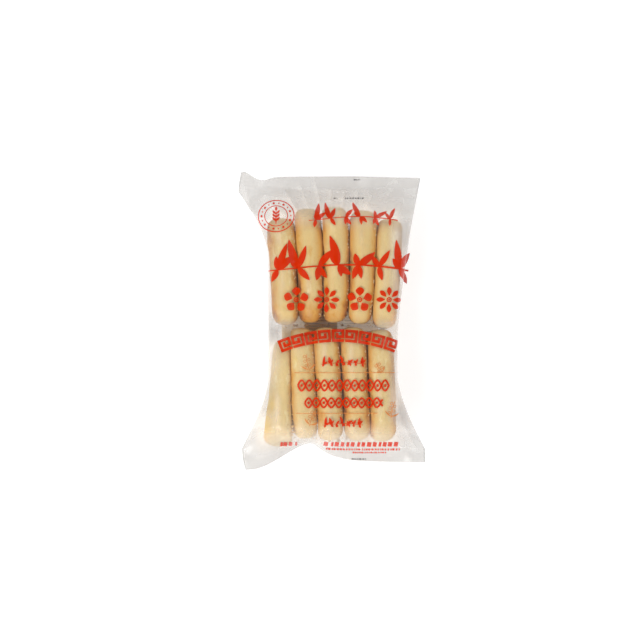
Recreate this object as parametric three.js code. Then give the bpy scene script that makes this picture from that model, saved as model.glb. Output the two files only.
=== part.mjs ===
// A sealed bag of small flatbreads in clear film, lying on its back with its
// shown side up. The bag can't be opened, so it is one closed solid with the
// outer form of the film: a boxy middle drawn tight round two rows of breads
// that stand on edge, four corners that flare out flat, and a thin crimped seal
// along each end.
//
// Millimetres, +Z up. X runs across the bag and Y along it, from the foot seal
// to the top seal. The origin is the middle of the flat underside.

import * as THREE from 'three';

const { clamp, degToRad, lerp, smoothstep } = THREE.MathUtils;

// ---- Driving dimensions -----------------------------------------------------

// The breads, which give the bag its thickness and its filled length.
const BREAD_THICK = 29;
const BREAD_WIDE = 62;
const BREAD_LONG = 127;
const BREADS_IN_ROW = 5;
const ROW_GAP = 5;
const ROW_GAP_Y = -5;

// The film tube: cut ends, seals, and the height of its side edges.
const FILM_HALF_WIDE = 102;
const CUT_END_Y = 160;
const SEAL_LONG = 11;
const SEAL_HALF_THICK = 0.4;
const SIDE_HEIGHT = BREAD_WIDE / 2;
const CROWN = SIDE_HEIGHT + 2;
const BELLY = SIDE_HEIGHT + 3;
const SHOULDER_LONG = 18;

// Each side edge runs straight down the waist and flares out to its corners. It
// grows by `grow` from Y = `from` to Y = `to`, along a curve of power `bend`,
// and past `to` the corner draws back in by `draw`.
const LEFT = {
  waist: 71.4,
  top: { from: 65, to: 143, grow: 33.8, bend: 1.9, draw: 5 },
  foot: { from: -62, to: -141, grow: 29.8, bend: 1.6, draw: 5 },
};
const RIGHT = {
  waist: 73.2,
  top: { from: -30, to: 158, grow: 26, bend: 1.5, draw: 0 },
  foot: { from: -62, to: -145, grow: 32, bend: 1.4, draw: 0 },
};

// The top seal is crowned a little, with one corner flicked up beside a hollow.
// The foot seal is bowed: it is tucked down between two breads, and its cut edge
// falls away from there, in a long slope to the left and quickly to the right.
const TOP_SEAL = {
  edge: 163, crown: 2.2, height: 26,
  flickX: -99.4, flick: 6.8, flickLift: 7, hollowX: -78, hollow: 3, flickWide: 9,
};
const FOOT_SEAL = {
  edge: -159.3, height: 24,
  tuckX: -21.4, tuck: 21.5, tuckFade: 20, tuckDrop: 19, slope: 30, slopeLong: 76,
};
const TUCK_ROUND = 4;
const SEAL_WAVE = 1.6;
const SEAL_WAVE_LONG = 38;
const BEND_START = 125;
const BEND_POWER = 1.5;

// The section is boxy round the breads and turns into a thin lens towards the
// seals: `across` and `tall` are the powers of its outline, explained below.
const BOX_SECTION = { until: 75, across: 6, tall: 5 };
const LENS_SECTION = { from: 148, across: 3, tall: 1 };
const TAPER_START_POWER = 1.8;
const TAPER_END_POWER = 1.4;

// How the film dips between the breads and between their two rows.
const DIP_BETWEEN_BREADS = 3.6;
const DIP_BETWEEN_ROWS = 12;
const ROW_DIP_WIDE = 11;
const DIP_FADE = 22;
const UPPER_ROW = { x: 4.4, spread: degToRad(1.5), lean: 0 };
const LOWER_ROW = { x: -2.6, spread: 0, lean: degToRad(3) };

// The grid: points up each side of a section, across it, and along the bag.
const SIDE_POINTS = 4;
const ACROSS_POINTS = 32;
const STATIONS = 52;
const CROWDING = 0.04;

// ---- The outline seen from above ----------------------------------------------

// How far one side edge stands from the bag's middle line at y.
function sideReach(side, y) {
  return [side.top, side.foot].reduce((reach, flare) => {
    const run = (y - flare.from) / (flare.to - flare.from);
    const past = Math.max(run - 1, 0) * Math.abs(flare.to - flare.from);
    const drawn = flare.draw * Math.min(past / (2 * SEAL_LONG), 1) ** 2;
    return reach + flare.grow * clamp(run, 0, 1) ** flare.bend - drawn;
  }, side.waist);
}

// A ramp that is 0 left of zero and t right of it, rounded over `wide`.
const softRamp = (t, wide) => (t + Math.hypot(t, wide)) / 2;

// A bump of height 1 centred on x = 0, as wide as `wide` to each side.
const bump = (x, wide) => Math.exp(-((x / wide) ** 2));

// Y of the cut edge of the top seal at x.
function topEdge(x) {
  const flick = TOP_SEAL.flick * bump(x - TOP_SEAL.flickX, TOP_SEAL.flickWide);
  const hollow = TOP_SEAL.hollow * bump(x - TOP_SEAL.hollowX, TOP_SEAL.flickWide);
  return TOP_SEAL.edge - TOP_SEAL.crown * (x / FILM_HALF_WIDE) ** 2 + flick - hollow;
}

// 1 at the foot seal's tuck and left of it, fading out to its right.
function tuckToRight(x) {
  return Math.exp(-softRamp(x - FOOT_SEAL.tuckX, TUCK_ROUND) / FOOT_SEAL.tuckFade);
}

// 0 at the tuck and right of it, rising to 1 along the slope to its left.
function slopeToLeft(x) {
  return smoothstep(FOOT_SEAL.tuckX - x, -TUCK_ROUND, FOOT_SEAL.slopeLong - TUCK_ROUND);
}

// Y of the cut edge of the foot seal at x.
function footEdge(x) {
  return FOOT_SEAL.edge + FOOT_SEAL.tuck * tuckToRight(x) - FOOT_SEAL.slope * slopeToLeft(x);
}

// 0 over the breads, rising to 1 at either cut edge.
function endBend(y) {
  const run = (Math.abs(y) - BEND_START) / (CUT_END_Y - BEND_START);
  return clamp(run, 0, 1) ** BEND_POWER;
}

// ---- The cross-section ----------------------------------------------------------

// 1 over the breads, falling to 0 where the seal begins.
function fullness(y) {
  const fromGap = Math.abs(y - ROW_GAP_Y);
  const shoulder = ROW_GAP / 2 + BREAD_LONG - SHOULDER_LONG;
  const seal = CUT_END_Y - SEAL_LONG - Math.sign(y - ROW_GAP_Y) * ROW_GAP_Y;
  const run = clamp((fromGap - shoulder) / (seal - shoulder), 0, 1);
  return (1 - run ** TAPER_START_POWER) ** TAPER_END_POWER;
}

// The section's outline is where |x / half width|^across + (z / height)^tall = 1.
// The height's power is blended by its inverse, which keeps the corners even.
function sectionPowers(y) {
  const lens = smoothstep(Math.abs(y), BOX_SECTION.until, LENS_SECTION.from);
  return {
    across: lerp(BOX_SECTION.across, LENS_SECTION.across, lens),
    tall: 1 / lerp(1 / BOX_SECTION.tall, 1 / LENS_SECTION.tall, lens),
  };
}

// Points on the upper half of the section, from its left edge to its right one,
// each as a share of the half width and of the height. They are spread evenly
// round a rectangle and drawn in from there to the section's outline.
function halfSection(y) {
  const powers = sectionPowers(y);
  const steps = 2 * SIDE_POINTS + ACROSS_POINTS;
  return Array.from({ length: steps + 1 }, (_, i) => {
    const rimHeight = Math.min(i / SIDE_POINTS, 1, (steps - i) / SIDE_POINTS);
    const rimAcross = clamp((2 * (i - SIDE_POINTS)) / ACROSS_POINTS - 1, -1, 1);
    const reach = Math.abs(rimAcross) ** powers.across + rimHeight ** powers.tall;
    return {
      across: rimAcross / reach ** (1 / powers.across),
      height: rimHeight / reach ** (1 / powers.tall),
    };
  });
}

// Height of the side edges and seals above the surface the bag lies on.
function midHeight(x, y) {
  const flickLift = TOP_SEAL.flickLift * bump(x - TOP_SEAL.flickX, 2 * TOP_SEAL.flickWide);
  const tuckDrop = FOOT_SEAL.tuckDrop * tuckToRight(x) * (1 - slopeToLeft(x));
  const seal = y > 0 ? TOP_SEAL.height + flickLift : FOOT_SEAL.height - tuckDrop;
  const wave = SEAL_WAVE * Math.sin((x / SEAL_WAVE_LONG) * Math.PI);
  return lerp(SIDE_HEIGHT, seal + wave, endBend(y));
}

// How far the film dips at x, y: between neighbouring breads of a row, counted
// in breads from the row's middle, and in a trough between the two rows.
function dip(x, y) {
  const row = y > ROW_GAP_Y ? UPPER_ROW : LOWER_ROW;
  const rowMiddle = ROW_GAP_Y + (Math.sign(y - ROW_GAP_Y) * (ROW_GAP + BREAD_LONG)) / 2;
  const along = y - rowMiddle;
  const pitch = BREAD_THICK + along * Math.tan(row.spread);
  const breads = (x - row.x + along * Math.tan(row.lean)) / pitch;
  const lastDip = BREADS_IN_ROW / 2 - 1;
  const inRow = 1 - smoothstep(Math.abs(breads), lastDip + 0.4, lastDip + 0.9);
  const inLength = 1 - smoothstep(Math.abs(along), BREAD_LONG / 2 - DIP_FADE, BREAD_LONG / 2);
  const between = DIP_BETWEEN_BREADS * Math.sin(Math.PI * breads) ** 2 * inRow * inLength;
  return between + DIP_BETWEEN_ROWS * bump(y - ROW_GAP_Y, ROW_DIP_WIDE);
}

// One closed ring of points round the bag: over the front from left to right,
// then back under it.
function sectionRing(y) {
  const full = fullness(y);
  const crown = Math.max(CROWN * full, SEAL_HALF_THICK);
  const belly = Math.max(BELLY * full, SEAL_HALF_THICK);
  const bend = endBend(y);
  const half = halfSection(y);

  const place = ({ across, height }, isFront) => {
    const x = across * sideReach(across < 0 ? LEFT : RIGHT, y);
    const shift = y > 0 ? topEdge(x) - CUT_END_Y : footEdge(x) + CUT_END_Y;
    const middle = midHeight(x, y);
    const z = isFront
      ? middle + (crown - dip(x, y) * full) * height
      : Math.max(middle - belly * height, 0);
    return new THREE.Vector3(x, y + shift * bend, z);
  };

  const front = half.map((point) => place(point, true));
  const back = half.slice(1, -1).reverse().map((point) => place(point, false));
  return [...front, ...back];
}

// ---- The closed solid -------------------------------------------------------------

// Steps along the bag, crowded a little at its two ends and in the middle.
function stationY(j) {
  const t = (2 * j) / STATIONS - 1;
  return CUT_END_Y * (t - CROWDING * Math.sin(2 * Math.PI * t));
}

function bagGeometry() {
  const rings = Array.from({ length: STATIONS + 1 }, (_, j) => sectionRing(stationY(j)));
  const around = rings[0].length;
  const at = (j, i) => j * around + (i % around);
  const faces = [];

  for (let j = 0; j < STATIONS; j += 1) {
    for (let i = 0; i < around; i += 1) {
      faces.push(at(j, i), at(j, i + 1), at(j + 1, i + 1));
      faces.push(at(j, i), at(j + 1, i + 1), at(j + 1, i));
    }
  }
  // Each cut edge is a thin strip between the front and back halves of its ring.
  for (let i = 0; i < around / 2; i += 1) {
    const strip = [i, i + 1, around - i - 1, around - i];
    const [a, b, c, d] = strip.map((k) => at(STATIONS, k));
    const [e, f, g, h] = strip.map((k) => at(0, k));
    if (b !== c) faces.push(a, b, c, e, g, f);
    if (a !== d) faces.push(a, c, d, e, h, g);
  }

  const geometry = new THREE.BufferGeometry().setFromPoints(rings.flat());
  geometry.setIndex(faces);
  geometry.computeBoundingBox();
  const middle = geometry.boundingBox.getCenter(new THREE.Vector3());
  geometry.translate(-middle.x, -middle.y, 0);
  geometry.computeVertexNormals();
  return geometry;
}

const filledFilm = new THREE.MeshStandardMaterial({
  color: 0xdcae72,
  roughness: 0.35,
  metalness: 0,
});

const bag = new THREE.Mesh(bagGeometry(), filledFilm);
bag.name = 'bag';

const flatbreadBag = new THREE.Group();
flatbreadBag.add(bag);

export default flatbreadBag;
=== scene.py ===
"""A sealed, clear bag of small flatbreads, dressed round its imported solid.

The film follows the same formulas as the solid it replaces, with finer folds.
Ten breads stand on edge in it, in two rows, with sesame and crumbs between
them, and the bag's print lies on the film as thin coloured shapes.

Shapes are worked out in millimetres and put into the meshes in metres.
X runs across the bag, Y along it to the top seal, and Z up.
"""

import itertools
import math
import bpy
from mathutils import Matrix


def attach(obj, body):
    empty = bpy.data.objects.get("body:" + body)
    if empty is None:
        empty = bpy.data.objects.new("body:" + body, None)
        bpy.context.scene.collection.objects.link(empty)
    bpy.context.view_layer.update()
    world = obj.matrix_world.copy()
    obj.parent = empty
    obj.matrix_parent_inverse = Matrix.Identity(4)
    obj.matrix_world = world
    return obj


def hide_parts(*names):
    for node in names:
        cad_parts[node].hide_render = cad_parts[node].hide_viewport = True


bl_info = {
    "name": "Flatbread bag",
    "version": (1, 0, 0),
    "blender": (4, 5, 0),
    "location": "View3D > Sidebar > Flatbread bag",
    "description": "Builds a clear pillow bag of flatbreads and its studio stage",
    "category": "Object",
}

from typing import NamedTuple

import bpy
import numpy as np

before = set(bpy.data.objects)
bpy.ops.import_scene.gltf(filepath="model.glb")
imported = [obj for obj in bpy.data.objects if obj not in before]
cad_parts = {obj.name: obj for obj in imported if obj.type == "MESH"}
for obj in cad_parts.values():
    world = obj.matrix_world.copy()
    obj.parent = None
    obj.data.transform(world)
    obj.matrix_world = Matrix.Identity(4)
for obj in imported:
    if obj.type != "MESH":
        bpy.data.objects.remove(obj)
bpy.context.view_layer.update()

MM = 0.001
BODY = "root"

# ---- Driving sizes of the film, in millimetres, as the solid has them --------

BREAD_THICK = 29.0
BREAD_WIDE = 62.0
BREAD_LONG = 127.0
BREADS_IN_ROW = 5
ROW_GAP = 5.0
ROW_GAP_Y = -5.0

FILM_HALF_WIDE = 102.0
CUT_END_Y = 160.0
SEAL_LONG = 11.0
SEAL_HALF_THICK = 0.4
SEAL_SOFT = 1.0
SEAL_HAZE = 0.1
SIDE_HEIGHT = BREAD_WIDE / 2
CROWN = SIDE_HEIGHT + 2
BELLY = SIDE_HEIGHT + 3
SHOULDER_LONG = 18.0

# How far each side edge flares: it grows by `grow` from Y = `start` to Y = `end`
# along a curve of power `bend`, and then draws back in by `draw`.
LEFT = {
    "waist": 71.4,
    "top": {"start": 65, "end": 143, "grow": 33.8, "bend": 1.9, "draw": 5},
    "foot": {"start": -62, "end": -141, "grow": 29.8, "bend": 1.6, "draw": 5},
}
RIGHT = {
    "waist": 73.2,
    "top": {"start": -30, "end": 158, "grow": 26, "bend": 1.5, "draw": 0},
    "foot": {"start": -62, "end": -145, "grow": 32, "bend": 1.4, "draw": 0},
}

TOP_SEAL = {
    "edge": 163.0, "crown": 2.2, "height": 26.0,
    "flick_x": -99.4, "flick": 6.8, "flick_lift": 7.0,
    "hollow_x": -78.0, "hollow": 3.0, "flick_wide": 9.0,
}
FOOT_SEAL = {
    "edge": -159.3, "height": 24.0,
    "tuck_x": -21.4, "tuck": 21.5, "tuck_fade": 20.0, "tuck_drop": 19.0,
    "slope": 30.0, "slope_long": 76.0,
}
TUCK_ROUND = 4.0
SEAL_WAVE = 1.6
SEAL_WAVE_LONG = 38.0
BEND_START = 125.0
BEND_POWER = 1.5

BOX_SECTION = {"until": 75, "across": 6, "tall": 5}
LENS_SECTION = {"from": 148, "across": 3, "tall": 1}
TAPER_START_POWER = 1.8
TAPER_END_POWER = 1.4

DIP_BETWEEN_BREADS = 3.6
DIP_BETWEEN_ROWS = 12.0
ROW_DIP_WIDE = 11.0
DIP_FADE = 22.0
LAST_DIP_FADE = (0.4, 0.9)
UPPER_ROW = {"x": 4.4, "spread": math.radians(1.5), "lean": 0.0}
LOWER_ROW = {"x": -2.6, "spread": 0.0, "lean": math.radians(3)}

# The film's own grid, finer than the solid's.
FILM_SIDE_POINTS = 14
FILM_ACROSS_POINTS = 132
FILM_STATIONS = 236
FILM_CROWDING = 0.04

# Folds that only the film has: pleats that fan out past the breads' ends, a
# ripple that runs through the flared corners and seals, and fine crinkles. Here
# and below, a pair is a band over which something grows from 0 to 1, or fades
# where the second number is the smaller, or else the least and most of a share.
PLEATS = {
    "deep": 1.7, "in_half_turn": 17.0, "wander": 1.5, "sharp": 1.6, "from_y": 62.0,
    "past_ends": (96, 126), "cover": (0.25, 0.75),
}
RIPPLE = {
    "deep": 1.5, "long": 31.0, "flare_long": 1.3 * 31.0, "wander": 2.4, "seal_share": 0.25,
    "seal": (132, 154), "flare": (76, 96), "ends": (60, 120),
}
CRINKLES = {"deep": 0.6, "sharp": 7, "fine_share": 0.5, "fine_sharp": 6}
SLACK = {"ends": (104, 128), "sides": (62, 74), "in_dip": 0.75}
FOLD_BOW = 0.04
FOLD_ROUND = 0.7
FOLD_ROOM = 5.0
BACK_CLEAR = 0.35

# Single creases, each from one point to another, with its depth and width.
LONG_FOLDS = (
    (28, 136, 46, 146, 2.0, 3.6), (44, 145, 74, 156, -2.2, 4.6), (30, 136, 56, 128, 1.6, 3.2),
    (-90, 156, -14, 146, -2.4, 6.5), (-82, 143, -24, 139, 2.0, 5.0), (-20, 149, 30, 146, 1.4, 4.0),
    (-30, 134, 24, 136, -1.6, 2.6), (-36, 113, -14, 111, 0.8, 1.8), (66, 122, 98, 156, -2.2, 6.0),
    (-100, 158, -82, 108, 2.2, 6.0), (4, 141, 50, 128, 1.2, 3.5), (72, -92, 100, -150, 2.0, 5.5),
    (-76, -98, -100, -158, 2.0, 5.5), (84, -112, 104, -128, 1.6, 4.0), (-66, -20, -70, -60, 0.8, 2.0),
    (-40, -9, 30, -6, 1.0, 1.6), (-30, -2, 44, 1, 0.8, 1.4), (30, -137, 66, -150, 1.4, 4.0),
    (56, -104, 70, -88, 0.8, 1.6), (-86, -150, -50, -142, 1.4, 4.0), (58, -138, 92, -146, -1.4, 3.6),
)

# ---- How milky the film is, and where shade and highlights are painted on it ---

# `free` counts where the film hangs free of the breads: from the bands at the top,
# foot, left and right outwards, between the rows, and at the lower row's corner.
# `tight` counts everywhere, and the rest where the film lies on the breads. The
# shade numbers paint shade on the side of each fold away from the main lamp, and
# the line, gleam and streak numbers paint highlights along fine crinkle lines, the
# breads' upper edges and across the gap between the rows.
# Painted highlights along each bread's upper edge: how far aside, how wide, over what share of its length
# and how broken.
PAINTED_GLEAM = {"aside": 2.5, "wide": 3.6, "length": (0.5, 0.42), "broken": (0.35, 0.8)}
HAZE = {
    "top": (97, 125), "foot": (104, 136), "free": 0.9,
    "left": (54, 70), "left_share": 0.75, "right": (58, 72), "right_share": 1.1,
    "side_cloud": (0.6, 1.4), "side_at_ends": 0.6, "side_length": (126, 92),
    "corner_x": -66, "corner_wide": 12, "corner": 0.6, "corner_from": (-64, -14), "corner_to": (12, 0),
    "rows_wide": 7, "rows_right": (40, 58), "rows_left": (26, 56),
    "tight": 0.04, "tight_lower": 0.04, "tight_cloud": 0.12,
    "shade": 0.55, "most_shade": 0.7, "line": 0.06, "painted_gleam": 0.34,
    "streak": 0.25, "streak_wide": 6, "streaks": (0.55, 0.8),
}
# Painted highlights on the film, as shares of the way from the haze's tint to its lit colour: over the
# breads' top and foot ends, down the left and right sides, and on the crests of the folds that face the
# main lamp.
PAINTED_SHEEN = {
    "middle_x": 4, "top_y": 114, "top_wide": 14, "top_sides": (78, 64),
    "foot_y": -124, "foot_wide": 16, "foot_sides": (90, 70),
    "left_x": -66, "left_wide": 12, "left_from": (-76, -40), "left_to": (-16, -36),
    "right_x": 70, "right_wide": 9, "right_length": (120, 90), "right": 0.8,
    "crest": 1.1, "crest_from": 0.12, "most_crest": 0.6, "least_cloud": 0.5,
}

# Every noise by name: the size of its cells in millimetres and its seed.
NOISES = {
    "ripple": (52, 11), "pleat_turns": (44, 12), "pleat_cover": (27, 13),
    "crinkles": (11, 14), "fine_crinkles": (5.5, 15),
    "side_haze": (16, 16), "tight_haze": (21, 17), "sheen": (13, 18), "painted_gleam": (19, 19),
    "streaks": (6, 20), "lumps": (36, 21), "dents": (11, 22), "grain": (4.2, 23),
    "blotches": (23, 25), "flour": (30, 26),
}
# The shares of x and y that make X, and those that make Y, where a noise over the
# plane is squeezed or slanted.
NOISE_SLANTS = {
    "crinkles": ((0.75, 0.3), (0, 0.6)), "fine_crinkles": ((1, 0.5), (-0.5, 1)),
    "painted_gleam": ((2.2, 0), (0, 0.8)), "streaks": ((0.25, 0), (0, 3.0)),
}
NOT_SLANTED = ((1, 0), (0, 1))
NOISE_LATTICE = 32
NOISE_APART = 300.0
RANDOM_SEEDS = {"sesame": 31, "crumbs": 37, "crumb_form": 38, "marks": 41, "spray": 100}

# ---- Sizes of the breads -----------------------------------------------------

class Bread(NamedTuple):
    """One bread: its middle, its three sizes, how far it is turned seen from above
    and leans, how its ends curve aside, twist and thicken, how deep it is baked, how
    its lower end is darkened by toasting and painted shade by the gap between the rows
    on the upper breads and lightened by painted light at the foot on the lower ones,
    how much flour lies on it, and how golden its left edge is."""

    x: float
    y: float
    long: float
    wide: float = 61.3
    thick: float = 28.6
    yaw: float = 0.0
    lean: float = 0.0
    curve: float = 0.0
    twist: float = 0.0
    taper: float = 0.0
    bake: float = 0.0
    end_toast_and_shading: float = 0.0
    dust: float = 0.0
    gold: float = 0.0


BREADS = {
    "upper_1": Bread(-54.0, 55.7, 119, 60.0, 29.6, yaw=3.4, lean=1.0, curve=-1.2, taper=0.04,
                     bake=0.05, end_toast_and_shading=0.08),
    "upper_2": Bread(-24.6, 62.2, 128, 61.3, 29.2, yaw=1.7, lean=-0.5, curve=-1.8, taper=0.05,
                     bake=0.1, end_toast_and_shading=0.3),
    "upper_3": Bread(4.6, 63.8, 130, 61.6, 29.2, yaw=0.3, lean=0.4, curve=-2.2, taper=0.05,
                     bake=0.05, end_toast_and_shading=0.36),
    "upper_4": Bread(33.4, 60.2, 127, 61.3, 28.8, yaw=-1.7, lean=0.6, curve=-0.4, taper=0.08,
                     bake=0.03, end_toast_and_shading=0.22),
    "upper_5": Bread(60.8, 52.8, 123, 59.6, 27.8, yaw=-3.4, lean=-1.0, curve=0.6, taper=0.08,
                     bake=-0.08, end_toast_and_shading=0.26),
    "lower_1": Bread(-57.2, -81.5, 118, 58.0, 25.0, yaw=-1.9, lean=-1.5, curve=-0.6, twist=4.0,
                     taper=-0.26, bake=-0.5, dust=1.8, gold=1.0),
    "lower_2": Bread(-32.6, -70.0, 124, 61.2, 27.8, yaw=2.9, lean=0.6, curve=0.5,
                     bake=-0.06, end_toast_and_shading=-0.4),
    "lower_3": Bread(-4.0, -71.2, 127, 61.5, 28.6, yaw=3.0, lean=-0.4, curve=-0.4,
                     bake=-0.02, end_toast_and_shading=-0.45),
    "lower_4": Bread(25.3, -71.0, 127, 61.3, 28.6, yaw=3.2, lean=1.7, curve=0.3,
                     bake=0.03, end_toast_and_shading=-0.35, dust=0.2),
    "lower_5": Bread(54.8, -71.6, 125, 59.8, 28.4, yaw=2.2, lean=2.6, curve=-0.5, bake=0.04, dust=0.1),
}
# The last bread of each row, whose right broad face no other bread hides.
OUTER_RIGHT = ("upper_5", "lower_5")

# A bread's form: the powers of its outline and of its rim, the dome of its broad
# faces, and how finely it is cut round, over a face and over the rim.
OVAL_POWER = 4.2
RIM_POWERS = {"top": 2.75, "foot": 2.35}
RIM_CHANGE = (-0.6, 0.6)
FACE_DOME = 1.3
FACE_MIDDLE = 0.06
BREAD_AROUND = 180
BREAD_FACE_ROWS = 12
BREAD_RIM_ROWS = 40

# How high it stands, how far it keeps from its neighbour and from the film, and
# the share of the film's half width that it is held in.
BREAD_STANDS = 0.9
PRESS_CLEAR = 0.05
FILM_CLEAR = 0.6
HELD = 0.985

# The crust: how high its lumps, dents and grain stand, and how toasted, floured
# and golden it is, by shares of the way to a broad face or to an end.
CRUST = {"lumps": 2.1, "dents": 1.2, "grain": 0.4}
TOAST = {
    "edge": 0.1, "face": 0.74, "on_face": (0.22, 0.98), "face_cloud": (0.7, 1.3),
    "lower_end": (0.5, 0.98), "end_cloud": (0.6, 1.4), "blotch": 0.3, "blotches": (0.56, 0.85),
}
FLOUR = {"patches": (0.3, 0.7), "less_on_face": 0.7}
GOLD = {"upper": (0.3, -0.1), "lower": (-0.95, -0.6), "left": (-0.25, -0.75)}

# Sesame: length, width and thickness, how these vary and taper, how far it lies
# off the crust, how closely it is strewn and from where on the rim to the face.
SEED_SIZE = (2.9, 1.7, 0.9)
SEED_SIZES = (0.8, 1.15)
SEED_TAPER = 0.28
SEED_LIFT = 0.05
SEED_PITCH = 4.4
SEED_SHARE = 0.45
SEEDS_SHOW_ABOVE = 36.0
SEEDS_FROM_RIM = 0.74

# Crumbs in each groove, and clouds of crumbs: how many, and for X, Y and Z either
# an even spread from one place to another or a bell round a place.
CRUMB_SIZE = 1.5
CRUMB_SPREAD = 0.4
CRUMB_SHAPES = (0.6, 1.3)
GROOVE_CRUMBS = {"count": 26, "length": 0.46, "aside": 1.3, "heights": (46, 52)}
CRUMB_CLOUDS = {
    "between_rows": (60, ("uniform", -54, 60), ("normal", ROW_GAP_Y, 1.6), ("uniform", 1.5, 14)),
    "foot": (50, ("uniform", -58, 64), ("uniform", -137, -130), ("uniform", 2.5, 9)),
    "lower_left_groove": (60, ("normal", -44.6, 1.2), ("uniform", -128, -84), ("uniform", 48, 55)),
}
CRUMBS_OFF_BACK = 4.0
CRUMBS_OFF_FRONT = 2.0

# ---- Sizes of the print ------------------------------------------------------

# How finely a ribbon is cut along and across it, and how far it lies off the film,
# each shape a hair higher than the last until the count of layers starts again.
PRINT_STEP = 1.0
LEAST_STEPS = 7
COLUMN_WIDE = 1.3
PRINT_LIFT = 0.2
LAYER_LIFT = 0.006
LAYERS = 9

# How the film under a shape is found: the reach that gives its slopes, the
# steepest slope that counts, and the search for the nominal y.
SLOPE_REACH = 0.4
STEEPEST = 3.0
MOST_END_SHIFT = 26.0
HALVINGS = 24

# Motifs. Their lengths and widths are shares of the whole motif and their angles
# are degrees, but the least half width of a leaf, the width of an ear's stem and
# a sprig's stem, berries and lines are millimetres, and a sprig's bow is radians.
LEAF_ROUND = 0.8
LEAF_LEAST = 0.08
WAVE_LONGER = 1.4
BLOSSOM = {
    "ring": 0.16, "ring_wide": 0.09, "dot": 0.07, "petal_from": 0.3, "petal_long": 0.7,
    "curl": 14, "blunt": 1.25,
}
# `fan` holds the heading and share of length of each leaf, and `leans` how far
# each fan is turned.
SPRAY = {
    "fan": ((92, 1.0), (50, 0.66), (118, 0.4), (-98, 0.42), (-58, 0.5)), "leans": (-14, 12, -2, 20),
    "sway": 0.04, "sways": 5, "stalk": (0.07, 0.12), "least_wide": 0.5, "blunt": 0.8,
    "headings": (-9, 9), "lengths": (0.85, 1.12), "widths": (0.85, 1.1), "curls": (-22, 22),
}
EAR = {
    "stem": 0.8, "stem_wide": 1.5, "stem_blunt": 0.7, "tip_from": 0.76, "tip": 0.26,
    "tip_wide": 0.34, "grain": 0.3, "grain_from": 0.2, "grain_run": 0.6, "grain_turn": 44,
}
FRET_TURNS = (
    (0.5, -0.5), (-0.5, -0.5), (-0.5, 0.5), (0.5, 0.5), (0.5, -0.12), (-0.08, -0.12), (-0.08, 0.14),
)
SPRIG = {
    "steps": 12, "bow": 0.5, "stem_wide": 0.34, "aside": 2.3, "up": 0.8, "berry": 1.45,
    "line": 0.6, "leaf_turn": 58, "leaf_long": 0.5, "leaf_wide": 1.5, "leaf_curl": 40,
}

# The print by the foot: rows of blocks (X from, X to, Y, tall, wide), and grey
# marks at both ends (X from, X to, Y, tall).
BLOCK_ROWS = (
    (-7.4, 74, -138.0, 5.6, 3.3), (-57, -38, -138.2, 5.2, 3.0), (-6, 76, -144.4, 2.4, 1.7),
    (24, 62, -148.2, 1.9, 1.5),
)
BLOCK_LENGTHS = (0.7, 1.5)
BLOCK_GAPS = (0.45, 0.8)
BLOCK_SLANT = 0.16
GREY_MARKS = (
    (1.7, 5.6, 137, 2.2), (14.6, 35.2, 137, 2.0), (24.5, 31.5, 158.8, 1.6), (22.3, 38.2, -155.9, 2.4),
)
MARK_LENGTHS = (0.8, 2.4)
MARK_GAPS = (0.5, 1.3)
MARK_SHARES = (0.5, 1.0)
MARK_RISE = 0.3

# The back: panels from X to X between two places in Y, ruled lines, and the seam.
# The panels are print and also painted shade and warm bounced light: seen through
# the gap between the rows, their inks give that shaded gap its dark warm brown.
BACK_FOOT, BACK_TOP = -74.0, 34.0
BACK_PANELS = {"middle": (-31, 6), "left": (-57, -31), "right": (6, 53)}
BACK_LINES = {
    "foot": BACK_FOOT + 4, "top": BACK_TOP - 2, "from_x": -29, "to_x": 44, "shorter": 9,
    "pitch": 3.2, "thick": 1.3, "thin": 0.6,
}
PANEL_LIFT = 0.1
LINES_LIFT = 0.16
SEAM = {
    "foot": 2 - BREAD_LONG, "top": BREAD_LONG - 10, "x": -48, "half_wide": 6, "wander": 0.5,
    "wander_long": 17, "lift": 0.16, "tilt": 0.04, "crimp": 0.05, "crimp_long": 3.1,
    "rows": 150, "columns": 9, "haze": 1.2,
}

# ---- The stage, in metres ----------------------------------------------------

FLOOR_HALF = 3.0
FLOOR_BELOW = 0.0004
LAMP_AIM_HIGH = 0.03
LAMPS = {"key": ((-0.95, -1.0, 1.2), 0.8), "fill": ((0.8, 0.7, 1.5), 0.9)}
SKY_DIMS = (0.8, 0.98)
SENSOR_WIDE = 36.0

# ---- Looks: patches and mixes in the materials -------------------------------

# A patch begins where the noise passes an edge, lower as there are more of them.
PATCH_EDGE = {"bare": 0.85, "per_amount": 0.55, "soft": 0.16}
PORE_RIM = (0.12, 0.42)
PORE_DEEP = 0.22

# Patches in the dough: how large in metres, how many, how drawn out along it.
DOUGH_PATCHES = {
    "broad": (0.017, 0.55, 1.6), "small": (0.0052, 0.5), "streaks": (0.0036, 0.5, 7.0),
    "yellow": (0.014, 0.42, 2.2), "flour": (0.011, 0.6, 2.4), "specks": (0.0013, 0.12),
}
TOAST_PATCHES = {"broad": 0.26, "small": 0.13, "streaks": 0.16}
TOAST_MEAN = 0.24
TOAST_STOPS = {"pale": 0.0, "cream": 0.28, "golden": 0.55, "brown": 0.8, "dark": 1.0}
DOUGH_MIX = {"yellow": 0.55, "specks": 0.55, "pores": 0.14}
DUST_COVER = (0.12, 0.6)
DOUGH_ROUGHNESS = (0.62, 0.85)

MILK_STREAKS = (0.94, 1.08)
RIB_PITCH = 1.7
RIB_HIGH = 0.15
INK_WEAR = 0.2
INK_LIGHTER = 0.02
INK_DARKER = 0.75
INK_ROUGHNESS = (0.3, 0.42)
INK_COVERS = {"orange": 0.75, "grey": 0.8, "panel": 0.97, "beige": 0.8, "pale": 0.35}


# ---- Shared formulas ---------------------------------------------------------

def smoothstep(low, high, t):
    """0 below low and 1 above high, on the cubic 3s^2 - 2s^3 between them."""
    s = np.clip((t - low) / (high - low), 0.0, 1.0)
    return s * s * (3 - 2 * s)


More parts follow.
